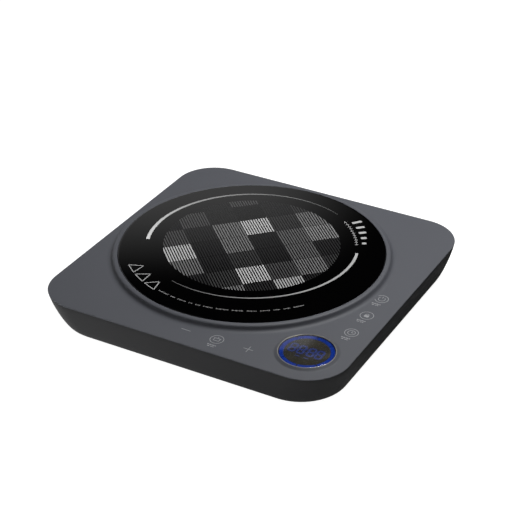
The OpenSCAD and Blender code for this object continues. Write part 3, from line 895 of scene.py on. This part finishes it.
# Edges are heights and insets from the casing's side, and profiles are radii and heights, in millimetres.
DECK_EDGE: tuple[Point, ...] = (
    (34.5, 3.1), (34.6, 2.8), (36.2, 2.8), (36.2, 0.32), (36.3, 0.08), (36.5, 0.0), (36.78, 0.05),
    (36.93, 0.18), (37.0, 0.42), (37.0, 0.75),
)
WALL_OUTSIDE: tuple[Point, ...] = (
    (3.3, 3.0), (3.3, 2.5), (3.36, 2.0), (3.55, 1.5), (3.9, 1.0), (4.5, 0.5), (5.4, 0.15), (6.6, 0.0),
    (8.3, 0.0), (10.5, 0.0), (13.3, 0.0), (16.5, 0.0), (20.0, 0.0), (24.0, 0.0), (28.0, 0.0), (32.0, 0.0),
    (35.9, 0.0), (36.1, 0.06), (36.2, 0.25), (36.2, 2.5),
)
WALL_INSIDE: tuple[Point, ...] = ((35.2, 2.5), (7.3, 2.5), (6.2, 2.9), (5.8, 4.0))
PLINTH_PROFILE: tuple[Point, ...] = (
    (112.0, 34.5), (112.0, 37.5), (112.4, 37.9), (121.6, 37.9), (121.9, 38.2), (121.9, 41.62),
    (122.02, 41.85), (122.25, 41.96), (122.6, 41.98), (123.5, 41.95), (124.5, 41.84), (125.3, 41.64),
    (125.85, 41.36), (126.25, 40.95), (126.6, 40.35), (127.0, 39.55), (127.4, 38.85), (127.9, 38.25),
    (128.6, 37.75), (129.4, 37.4), (130.3, 37.17), (131.4, 37.04),
)
POD_PROFILE: tuple[Point, ...] = (
    (23.0, 34.5), (23.0, 37.2), (23.15, 37.3), (24.66, 37.3), (24.66, 38.38), (24.75, 38.47), (24.95, 38.5),
    (25.25, 38.38), (25.7, 38.1), (26.2, 37.78), (26.7, 37.46), (27.1, 37.23), (27.5, 37.08),
    (27.85, 37.02),
)
BEZEL_PROFILE: tuple[Point, ...] = (
    (23.9, 37.3), (24.6, 37.3), (24.6, 38.45), (24.56, 38.62), (24.46, 38.74), (24.3, 38.8), (24.14, 38.76),
    (24.0, 38.66), (23.93, 38.52), (23.9, 38.35), (23.9, 37.3),
)
MASK_PROFILE: tuple[Point, ...] = (
    (0, 36.3), (18.9, 36.3), (19.3, 36.5), (19.3, 36.8), (19.1, 36.9), (0, 36.9),
)


def in_metres(*profile: Point) -> list[Point]:
    """Turns the points of a profile from millimetres into metres."""
    return [(r * MM, z * MM) for r, z in profile]


@dataclass
class Casing:
    """The deck, the tapered housing below it and what closes them."""

    dresser: Dresser
    corner_steps: int = 16
    plinth_steps: int = 192
    pod_steps: int = 96
    plinth_ring: float = 132.5 * MM
    under_ring: float = 125.0 * MM
    pod_ring: float = 28.2 * MM
    corner_mm: float = 38.0
    corner_growth_mm: float = 3.0
    wall_h: float = 33.7
    wall_inset: float = 10.8
    side_round: float = 1.4
    screw_places: tuple[Point, ...] = (
        (-114, -114), (-112, 118), (114, 114), (-42, -122), (122, 42), (66, -104), (104, -66),
    )
    board_places: tuple[Point, ...] = ((-94, -50), (-94, -2), (106, -50), (106, 96), (-12, 97))
    deck_z: float = 37.0 * MM
    deck_half: float = 145.0 * MM

    def level(self, z_mm: float, inset_mm: float, full: bool = True) -> Triple:
        """A rounded square at a height, inset from the casing's side.

        Args:
            z_mm: Height in millimetres.
            inset_mm: Inset in millimetres.
            full: Follows the rounded outside; the inside of the wall is straight.

        Returns:
            Half side, corner radius and height in metres.
        """
        down = (self.deck_z / MM - z_mm) / self.wall_h
        out = 0.0
        if full:
            out = self.wall_inset * (down - 1 + (1 - down**self.side_round) ** (1 / self.side_round))
        half = self.deck_half / MM - self.wall_inset * down + out - inset_mm
        corner = self.corner_mm + self.corner_growth_mm * down + out - inset_mm
        return half * MM, corner * MM, z_mm * MM

    def deck(self) -> Piece:
        """The deck with its plinth for the glass and its pod for the display."""
        glass, lens = Disc.of("glass_plate"), Disc.of("display_lens")
        levels = [self.level(z, inset) for z, inset in DECK_EDGE]
        deck = Bench.stack("deck_cover", levels, self.corner_steps)
        flange, under = 36.6 * MM, 34.5 * MM
        rounds = (
            (glass.x, glass.y, self.plinth_ring, self.under_ring, self.plinth_steps),
            (lens.x, lens.y, self.pod_ring, self.pod_ring - 2 * MM, self.pod_steps),
        )
        for x, y, ring, lower_ring, steps in rounds:
            Bench.cut(deck, Bench.cylinder(ring, flange, 40 * MM, x, y, steps))
            Bench.cut(deck, Bench.cylinder(lower_ring, 30 * MM, 40 * MM, x, y, steps))
        Bench.take(deck)
        Bench.edit(Element.FACE)
        for x, y, ring, *_ in rounds:
            Bench.pick(
                Element.FACE,
                lambda c, n: math.hypot(c.x - x, c.y - y) < ring + 0.1 * MM
                and under + WELD < c.z < self.deck_z - WELD
                and (abs(n.z) < 0.1 or abs(c.z - flange) < WELD),
            )
            bpy.ops.mesh.delete(type="FACE")
        Bench.close("deck_cover")
        plinth = Bench.turn(
            "plinth",
            in_metres((self.under_ring / MM, 34.5), *PLINTH_PROFILE, (self.plinth_ring / MM, 37.0)),
            glass.x, glass.y, self.plinth_steps,
        )
        pod = Bench.turn(
            "pod",
            in_metres((self.pod_ring / MM - 2, 34.5), *POD_PROFILE, (self.pod_ring / MM, 37.0)),
            lens.x, lens.y, self.pod_steps,
        )
        deck = Bench.join(deck, plinth, pod)
        Bench.edit()
        Bench.weld_outward()
        deck = Bench.close("deck_cover")
        bosses = [Bench.cylinder(4 * MM, 20 * MM, 35 * MM, x * MM, y * MM, 24) for x, y in self.screw_places]
        deck = Bench.join(deck, *bosses)
        deck = Bench.close("deck_cover", smooth_deg=40)
        return self.dresser.fit(deck, DECK, "deck_plastic", "top_cover")

    def housing(self) -> Piece:
        """The tapered housing with its vents, recesses and the pocket for the cord inlet."""
        shell = Bench.stack(
            "lower_housing",
            [
                *(self.level(z, inset) for z, inset in WALL_OUTSIDE),
                *(self.level(z, inset, False) for z, inset in WALL_INSIDE),
            ],
            self.corner_steps,
        )
        glass = Disc.of("glass_plate")
        floor, spread = 4 * MM, 97 * MM
        posts = [Bench.cylinder(4.5 * MM, floor, 20 * MM, x * MM, y * MM) for x, y in self.screw_places]
        posts += [Bench.cylinder(3.5 * MM, floor, 9.8 * MM, x * MM, y * MM) for x, y in self.board_places]
        posts += [
            Bench.cylinder(4.5 * MM, floor, 31 * MM, glass.x + x * spread, glass.y + y * spread)
            for x, y in ((1, 0), (-1, 0), (0, 1), (0, -1))
        ]
        self.inlet_pocket(shell)
        Bench.cut(shell, Bench.join(*posts), how="UNION")
        for cutter in self.openings():
            Bench.cut(shell, cutter)
        Bench.take(shell)
        shell = Bench.close("lower_housing", smooth_deg=35)
        return self.dresser.fit(shell, HOUSING, "housing_plastic", "bottom_housing")

    def inlet_pocket(self, shell: Piece) -> None:
        """Builds the box at the back that the cord inlet sits in, and opens it outwards."""
        low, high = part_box("cord_gland")
        x, z = (low.x + high.x) / 2, (low.z + high.z) / 2
        inner, outer = low.y + 2.5 * MM, low.y + 5 * MM
        block = Bench.slab((x - 15.5 * MM, inner, 5 * MM), (x + 15.5 * MM, 134 * MM, 28.5 * MM))
        Bench.take(block)
        Bench.edit()
        Bench.pick(Element.VERT, lambda c, n: c.y > 130 * MM and c.z > 20 * MM)
        bpy.ops.transform.translate(value=(0, 7 * MM, 0))
        Bench.close("pocket")
        Bench.cut(shell, block, how="UNION")
        half_w, past = 13 * MM, 0.17
        mouth = Bench.slab((x - half_w, outer, 8 * MM), (x + half_w, past, 26 * MM), 1.5 * MM, "Y")
        Bench.cut(shell, mouth)
        bore, start, end = 7 * MM, 0.115, 0.13
        profile = [(0, start), (bore, start), (bore, end), (0, end)]
        Bench.cut(shell, Bench.turn("bore", profile, x, z, 48, along="Y"))

    def openings(self) -> list[Piece]:
        """The cutters of the vents, the screw recesses and the foot sockets, one group each."""
        fan, feet = Disc.of("fan_frame"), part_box("rubber_feet")
        low, high, wide = 2 * MM, 7 * MM, 1.5 * MM
        far = feet[1].x - 9 * MM, feet[1].y - 9 * MM
        left, reach = fan.x - 36 * MM, 42 * MM
        bar = Bench.slab((left - wide, fan.y - reach, low), (left + wide, fan.y + reach, high))
        grille = Bench.repeat(bar, 13, (6 * MM, 0, 0))
        Bench.cut(grille, Bench.cylinder(40 * MM, 1 * MM, 8 * MM, fan.x, fan.y, 64), how="INTERSECT")
        cutters = [grille]
        for start, count, step, lows, highs in (
            (-82.5 * MM, 8, 8 * MM, (-104 * MM, low), (-70 * MM, high)),
            (5.5 * MM, 11, 8 * MM, (104 * MM, low), (118 * MM, high)),
            (-86.5 * MM, 21, 7 * MM, (120 * MM, 13 * MM), (165 * MM, 27 * MM)),
        ):
            along = "Y" if start < -85 * MM else "Z"
            bar = Bench.slab((start - wide, *lows), (start + wide, *highs), 1.49 * MM, along)
            cutters.append(Bench.repeat(bar, count, (step, 0, 0)))
        recesses = [Bench.cylinder(3.4 * MM, low, 8.3 * MM, x * MM, y * MM) for x, y in self.screw_places]
        sockets = [
            Bench.cylinder(3.1 * MM, low, high, x * far[0], y * far[1]) for x in (-1, 1) for y in (-1, 1)
        ]
        pilots = [Bench.cylinder(1.7 * MM, 8 * MM, 21 * MM, x * MM, y * MM, 16) for x, y in self.screw_places]
        cutters += [Bench.join(*recesses), Bench.join(*sockets), Bench.join(*pilots)]
        return cutters


@dataclass
class CookingZone:
    """The glass plate and everything printed on it."""

    dresser: Dresser
    bevel: float = 0.7 * MM
    print_shift: Point = (-4.5 * MM, 8.0 * MM)
    cell: float = 27.0 * MM
    stripes: int = 11
    hatch_radius: float = 81.0 * MM
    row_shift: float = 0.575
    turn_deg: float = 45.0
    tones: tuple[str, ...] = ("001310", "031012", "315925", "905046", "502041", "129352", "051800")

    def __post_init__(self) -> None:
        """Reads the plate's place from the frame."""
        self.plate = Disc.of("glass_plate")
        self.x = self.plate.x + self.print_shift[0]
        self.y = self.plate.y + self.print_shift[1]

    def glass(self) -> Piece:
        """The polished plate with its ground edge."""
        r, low, top, b = self.plate.radius, self.plate.low, self.plate.high, self.bevel
        profile = [
            (0.0, low), (r - b, low), (r - 0.3 * b, low + 0.3 * b), (r, low + b), (r, top - b),
            (r - 0.1 * b, top - 0.55 * b), (r - 0.45 * b, top - 0.12 * b), (r - b, top), (r - 2 * b, top),
            (0.0, top),
        ]
        plate = Bench.turn("glass_disc", profile, self.plate.x, self.plate.y, 192, smooth_deg=35)
        return self.dresser.fit(plate, GLASS, "black_glass", "glass_plate")

    def across(self, place: Vector) -> Point:
        """Turns a place into the hatch's own columns and rows, counted from its middle."""
        turn = math.radians(self.turn_deg)
        x, y = place.x - self.x, place.y - self.y
        return (
            (x * math.cos(turn) + y * math.sin(turn)) / self.cell,
            (x * math.sin(turn) - y * math.cos(turn)) / self.cell,
        )

    def hatch_tone(self, place: Vector) -> float:
        """Brightness of the hatch at a place, from the chart of tones."""
        column, row = self.across(place)
        j = min(5, max(0, math.floor(column + 3)))
        i = min(len(self.tones) - 1, max(0, math.floor(row + 3 + self.row_shift)))
        return 0.004 + (int(self.tones[i][j]) / 9) ** 2 * 0.66

    def hatch(self) -> Piece:
        """The round field of hatched squares in the middle of the plate."""
        pitch = self.cell / self.stripes
        top = self.plate.high
        half_w, half_l = 0.25 * pitch, (self.cell - 0.5 * MM) / 2
        columns, rows = 6 * self.stripes, len(self.tones)
        stripes = Bench.slab((-half_w, -half_l, 0), (half_w, half_l, 0.03 * MM))
        Bench.repeat(stripes, columns, (pitch, 0, 0))
        Bench.repeat(stripes, rows, (0, self.cell, 0))
        turn = math.radians(self.turn_deg)
        left = -(3 * self.cell) + pitch / 2
        top_row = (0.5 - (rows - 3 - self.row_shift)) * self.cell
        stripes.rotation_euler = (0, 0, turn)
        stripes.location = (
            self.x + left * math.cos(turn) - top_row * math.sin(turn),
            self.y + left * math.sin(turn) + top_row * math.cos(turn),
            top - 0.005 * MM,
        )
        Bench.take(stripes)
        Bench.close("hatch_print")
        field_edge = Bench.cylinder(self.hatch_radius, top - MM, top + MM, self.x, self.y, 128)
        Bench.cut(stripes, field_edge, how="INTERSECT")
        write_tone(stripes, self.hatch_tone)
        return self.dresser.fit(stripes, GLASS_INK, "black_glass")

    def sweep_tone(self, place: Vector) -> float:
        """Brightness of the two sweeping arcs, which fade towards their thin ends."""
        angle = math.degrees(math.atan2(place.y - self.y, place.x - self.x)) % 360
        if 150 < angle <= 210:
            return 0.42 + 0.58 * (angle - 150) / 54
        if 60 <= angle <= 150:
            return 0.16 + 0.26 * (angle - 62) / 88
        along = ((22 - angle) % 360) / 124
        return 0.62 - 0.42 * along

    def arcs(self) -> Piece:
        """Two arcs on a slightly long oval round the hatch, each thinning from one end."""
        sheet = InkSheet("arc_print", self.plate.high)
        x, y, turn = self.x + 0.3 * MM, self.y + 0.6 * MM, math.radians(28.9)
        sheet.ring(x, y, 96.4 * MM, 3.1 * MM, 35, 175, taper_deg=175, steps=360)
        sheet.ring(x, y, 96.1 * MM, 2.6 * MM, -136, -11, taper_deg=-11, steps=360)
        for mark in sheet.parts:
            Bench.take(mark)
            Bench.edit()
            bpy.ops.transform.resize(value=(1.016, 0.978, 1), center_override=(x, y, self.plate.high))
            bpy.ops.transform.rotate(value=-turn, orient_axis="Z", center_override=(x, y, self.plate.high))
            Bench.close("arc")
        return self.dresser.fit(sheet.build(self.sweep_tone), GLASS_INK, "black_glass")

    def at(self, radius_mm: float, angle_deg: float) -> Point:
        """A place on the plate by its distance and direction from the print's middle."""
        angle = math.radians(angle_deg)
        return self.x + radius_mm * MM * math.cos(angle), self.y + radius_mm * MM * math.sin(angle)

    def rim_marks(self) -> Piece:
        """Plain marks near the rim: three outlined triangles, a dashed line and a group of bars."""
        sheet = InkSheet("rim_print", self.plate.high)
        for middle in (-129.0, -120.4, -111.8):
            base = [self.at(116.0, middle - 3.5), self.at(116.0, middle + 3.5)]
            sheet.shape([*base, self.at(104.0, middle)], 0.8 * MM)
        angle = -106.0
        for count in (9, 4, 7, 3, 4, 7, 9, 8, 7, 7, 5, 5, 8):
            for step in range(count):
                sheet.bar(*self.at(113.4, angle), 0.45 * MM, (1.6, 0.9, 1.3)[step % 3] * MM, angle + 90)
                angle += 0.64
            angle += 1.3
        for step in range(5):
            middle, length = 29.0 + 5.4 * step, (4.0 + 1.5 * step) * MM
            sheet.bar(*self.at(100.6 + length / MM / 2, middle), length, 3.4 * MM, middle)
        for step in range(11):
            middle = 27.6 + 2.5 * step
            sheet.bar(*self.at(95.6, middle), 2.9 * MM, 0.75 * MM, middle)
            sheet.bar(*self.at(95.6, middle + 1.0), 2.0 * MM, 0.6 * MM, middle + 90)
        return self.dresser.fit(sheet.build(lambda place: 0.62), GLASS_INK, "black_glass")


@dataclass
class Controls:
    """The key marks on the deck and the round display in its corner."""

    dresser: Dresser
    key_row: float = 125.3 * MM
    pitch: float = 30.0 * MM
    line: float = 0.55 * MM

    def __post_init__(self) -> None:
        """Reads the display's place from the frame."""
        self.lens = Disc.of("display_lens")

    def caption(self, sheet: InkSheet, x: float, y: float) -> None:
        """Two rows of short dashes below a key."""
        for place, width in ((-3.2, 1.6), (-1.1, 2.0), (1.5, 2.4), (3.7, 1.2)):
            sheet.bar(x + place * MM, y, width * MM, 1.1 * MM)
        for place, width in ((-2.0, 2.2), (0.8, 1.6), (2.6, 1.2)):
            sheet.bar(x + place * MM, y - 2.2 * MM, width * MM, 0.9 * MM)

    def marks(self) -> Piece:
        """The key symbols: less, pot, more, on and off, lock and clock."""
        deck_top = 37.0 * MM
        sheet = InkSheet("key_marks", deck_top)
        w, row = self.line, self.key_row
        x0 = 1.5 * MM
        sheet.bar(x0, -row, 9 * MM, w)
        plus = x0 + 2 * self.pitch
        sheet.bar(plus, -row, 9 * MM, w)
        sheet.bar(plus, -row, 9 * MM, w, 90)
        pot = x0 + self.pitch
        sheet.ring(pot, -row, 6.1 * MM, w)
        sheet.bar(pot, -row - 1.9 * MM, 5.6 * MM, w)
        sheet.bar(pot - 2.6 * MM, -row - 0.4 * MM, 3.2 * MM, w, 90)
        sheet.bar(pot + 2.6 * MM, -row - 0.4 * MM, 3.2 * MM, w, 90)
        sheet.bar(pot, -row + 1.6 * MM, 6.8 * MM, w)
        sheet.bar(pot, -row + 2.9 * MM, 1.6 * MM, w)
        self.caption(sheet, pot, -row - 8.9 * MM)
        keys = [-2 * MM - self.pitch * i for i in range(3)]
        for y in keys:
            sheet.ring(row, y, 6.1 * MM, w)
            self.caption(sheet, row - 1.2 * MM, y - 9.2 * MM)
        sheet.ring(row, keys[0], 3.3 * MM, w, 125, 415)
        sheet.bar(row, keys[0] + 2.6 * MM, 2.8 * MM, w, 90)
        sheet.bar(row, keys[1] - 1.0 * MM, 4.4 * MM, 3.2 * MM)
        sheet.ring(row, keys[1] + 0.6 * MM, 1.9 * MM, w, 0, 180)
        sheet.ring(row, keys[2], 3.5 * MM, w)
        sheet.bar(row, keys[2] + 0.9 * MM, 2.2 * MM, w, 90)
        sheet.bar(row + 0.8 * MM, keys[2], 2.0 * MM, w)
        return self.dresser.fit(sheet.build(lambda place: 1.0), DECK_INK, "deck_plastic")

    def window(self) -> Piece:
        """The smoked window over the display."""
        lens = self.lens
        b = 0.25 * MM
        profile = [
            (0.0, lens.low), (lens.radius, lens.low), (lens.radius, lens.high - b),
            (lens.radius - 0.3 * b, lens.high - 0.3 * b), (lens.radius - b, lens.high), (0.0, lens.high),
        ]
        window = Bench.turn("display_window", profile, lens.x, lens.y, 96, smooth_deg=35)
        return self.dresser.fit(window, LENS, "smoked_lens", "display_lens")

    def bezel(self) -> Piece:
        """The rolled metal rim round the window."""
        lens = self.lens
        bezel = Bench.turn("bezel_rim", in_metres(*BEZEL_PROFILE), lens.x, lens.y, 128, smooth_deg=40)
        return self.dresser.fit(bezel, BEZEL, "bezel_metal", "display_bezel")

    def panel(self) -> Piece:
        """The display module with its round mask under the window, with a painted glow that stands in for
        light through the window.
        """
        lens = self.lens
        low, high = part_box("digit_module")
        half_x, half_y = 15 * MM, 7 * MM
        top = high.z - 0.6 * MM
        block = Bench.slab(
            (lens.x - half_x, lens.y - half_y, low.z), (lens.x + half_x, lens.y + half_y, top), MM
        )
        mask = Bench.turn("mask", in_metres(*MASK_PROFILE), lens.x, lens.y, 72)
        panel = Bench.join(block, mask)
        panel = Bench.close("digit_panel", smooth_deg=35)
        return self.dresser.fit(panel, PANEL_WITH_PAINTED_LIGHT, "digit_plastic", "digit_module")

    def digits(self) -> Piece:
        """Four figures of seven bars each, with a colon between the pairs."""
        sheet = InkSheet("digit_bars", 36.9 * MM, 0.12 * MM)
        wide, tall, w = 5.1 * MM, 5.4 * MM, 1.55 * MM
        y0 = self.lens.y + 0.8 * MM
        for offset in (-13.0, -5.2, 3.6, 11.2):
            x = self.lens.x + offset * MM
            for level in (-1, 0, 1):
                sheet.bar(x, y0 + level * tall, wide - 0.5 * MM, w)
            for side in (-1, 1):
                for level in (-0.5, 0.5):
                    sheet.bar(x + side * wide / 2, y0 + level * tall, tall - 0.9 * MM, w, 90)
        for level in (-0.4, 0.4):
            sheet.bar(self.lens.x - 0.8 * MM, y0 + level * tall, 1.0 * MM, 1.0 * MM)
        for offset in (-4.6, 3.4):
            sheet.bar(self.lens.x + offset * MM, y0 - 9.4 * MM, 4.2 * MM, 0.8 * MM)
        return self.dresser.fit(sheet.build(lambda place: 1.0), DIGIT, "digit_plastic")


@dataclass
class Inlet:
    """The rubber gland that holds the cord where it would enter."""

    dresser: Dresser
    ribs: int = 5

    def gland(self) -> Piece:
        """The gland with its flange and its ribbed sleeve."""
        low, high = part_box("cord_gland")
        x, z = (low.x + high.x) / 2, (low.z + high.z) / 2
        y0, y1, bore = low.y, high.y, 3.6 * MM
        wall = y0 + 2.5 * MM
        profile = [(bore, y0), (8.3 * MM, y0), (8.6 * MM, y0 + 0.3 * MM), (8.6 * MM, wall), (6.9 * MM, wall)]
        face = wall + 2.5 * MM
        profile += [(6.9 * MM, face), (8.6 * MM, face)]
        profile += [(8.5 * MM, face + 2.2 * MM), (8.1 * MM, face + 2.9 * MM)]
        length = (y1 - face - 3.2 * MM) / self.ribs
        for rib in range(self.ribs):
            start = face + 3.0 * MM + rib * length
            crest = (6.9 - 0.28 * rib) * MM
            profile += [
                (crest - 1.1 * MM, start), (crest - 1.1 * MM, start + 0.25 * length),
                (crest, start + 0.38 * length), (crest, start + 0.85 * length),
            ]
        profile += [(bore + 0.6 * MM, y1), (bore, y1 - 0.3 * MM), (bore, y0)]
        gland = Bench.turn("cord_sleeve", profile, x, z, 64, along="Y", smooth_deg=30)
        return self.dresser.fit(gland, CAD_FINISHES["gland_rubber"], "gland_rubber", "cord_gland")


@dataclass
class Studio:
    """The floor, the lights, the surroundings and the camera."""

    lens_mm: float = 109.8
    shift: Point = (-0.0009, 0.0116)
    camera_at: Triple = (0.5825, -1.0553, 0.7652)
    aim: Triple = (0.0, 0.0, 0.037)
    floor_glow: tuple[Point, Point] = ((-0.1, 0.5), (0.02, 2.0))
    band_height: tuple[Point, Point] = ((0.478, 0.527), (0.46, 0.0))
    lights: tuple[tuple[str, Triple, float, float], ...] = (
        ("key_light", (0.14, 0.27, 0.80), 0.34, 7.0),
        ("fill_light", (-0.9, -1.6, 1.0), 1.2, 1.5),
    )

    def floor(self) -> None:
        """A plain pale sweep of floor."""
        Bench.clear()
        bpy.ops.mesh.primitive_plane_add(size=16, location=(0, 0, -0.0005))
        Bench.edit(Element.FACE)
        bpy.ops.mesh.subdivide(number_cuts=3)
        floor = Bench.close("floor")
        material, tree, shader = start_material("floor_paper")
        place = tree.nodes.new("ShaderNodeTexCoord").outputs["Object"]
        along = self.measure(tree, place, (-0.45, -0.9, 0.0))
        lit = self.ramp(tree, along, *self.floor_glow)
        camera_ray = tree.nodes.new("ShaderNodeLightPath").outputs["Is Camera Ray"]
        seen = add_node(tree, "Math", {0: lit, 1: camera_ray}, operation="MAXIMUM")
        fill(
            tree,
            shader,
            {
                "Base Color": (0.28, 0.28, 0.28, 1),
                "Roughness": 0.9,
                "Specular IOR Level": 0.0,
                "Emission Color": (1, 1, 1, 1),
                "Emission Strength": seen.outputs[0],
            },
        )
        floor.data.materials.append(material)

    @staticmethod
    def measure(tree: Tree, vector: Socket, along: Triple) -> Socket:
        """Adds a node that measures a vector along a direction."""
        dot = add_node(tree, "VectorMath", {0: vector, 1: along}, operation="DOT_PRODUCT")
        return dot.outputs["Value"]

    @staticmethod
    def ramp(tree: Tree, value: Socket, span: Point, result: Point) -> Socket:
        """Adds a smooth step to a node tree.

        Args:
            tree: The tree.
            value: What the step follows.
            span: Where the step starts and ends.
            result: The value before and after it.

        Returns:
            The step's result.
        """
        ends = {"From Min": span[0], "From Max": span[1], "To Min": result[0], "To Max": result[1]}
        step = add_node(tree, "MapRange", {"Value": value, **ends}, interpolation_type="SMOOTHSTEP")
        return step.outputs["Result"]

    def stand(self, name: str, data: bpy.types.ID, place: Triple) -> Piece:
        """Stands a light or a camera at its place, turned to the cooktop."""
        holder = bpy.data.objects.new(name, data)
        holder.location = place
        holder.rotation_euler = (Vector(self.aim) - Vector(place)).to_track_quat("-Z", "Y").to_euler()
        bpy.context.scene.collection.objects.link(holder)
        return holder

    def light(self, name: str, place: Triple, size: float, power: float) -> None:
        """A soft square light aimed at the cooktop.

        Args:
            name: The light's name.
            place: Where it stands.
            size: Its side.
            power: Its power in watts.
        """
        lamp = bpy.data.lights.new(name, "AREA")
        lamp.shape = "SQUARE"
        lamp.size = size
        lamp.energy = power
        self.stand(name, lamp, place)

    def surroundings(self) -> None:
        """A dark room with a pale band low behind the cooktop, on the left."""
        world = bpy.data.worlds.new("room")
        bpy.context.scene.world = world
        world.use_nodes = True
        tree = world.node_tree
        direction = tree.nodes.new("ShaderNodeTexCoord").outputs["Generated"]
        axes = add_node(tree, "SeparateXYZ", {0: direction})
        glow = self.ramp(tree, axes.outputs["Z"], *self.band_height)
        for value, span, result in (
            (axes.outputs["X"], (-0.432, -0.347), (1.0, 0.0)),
            (self.measure(tree, direction, (-0.6, 0.8, 0.0)), (0.1, 0.6), (0.0, 1.0)),
        ):
            step = self.ramp(tree, value, span, result)
            glow = add_node(tree, "Math", {0: glow, 1: step}, operation="MULTIPLY").outputs[0]
        fill(tree, tree.nodes["Background"], {"Color": (1, 1, 1, 1), "Strength": glow})

    def camera(self) -> None:
        """The camera, high on the front right."""
        data = bpy.data.cameras.new("camera")
        data.lens = self.lens_mm
        data.sensor_width = 36
        data.shift_x, data.shift_y = self.shift
        data.clip_end = 50
        bpy.context.scene.camera = self.stand("camera", data, self.camera_at)

    def build(self) -> None:
        """Sets up the whole studio."""
        self.floor()
        for name, place, size, power in self.lights:
            self.light(name, place, size, power)
        self.surroundings()
        self.camera()
        view = bpy.context.scene.view_settings
        view.view_transform = "Standard"
        view.look = "None"


def main() -> None:
    """Builds the studio and the cooktop's pieces, one after the other."""
    Studio().build()
    dresser = Dresser()
    log.info("dressed %d nodes", dresser.dress_nodes())
    casing = Casing(dresser)
    casing.deck()
    casing.housing()
    zone = CookingZone(dresser)
    zone.glass()
    zone.hatch()
    zone.arcs()
    zone.rim_marks()
    controls = Controls(dresser)
    controls.marks()
    controls.window()
    controls.bezel()
    controls.panel()
    controls.digits()
    Inlet(dresser).gland()


if __name__ == "__main__":
    main()
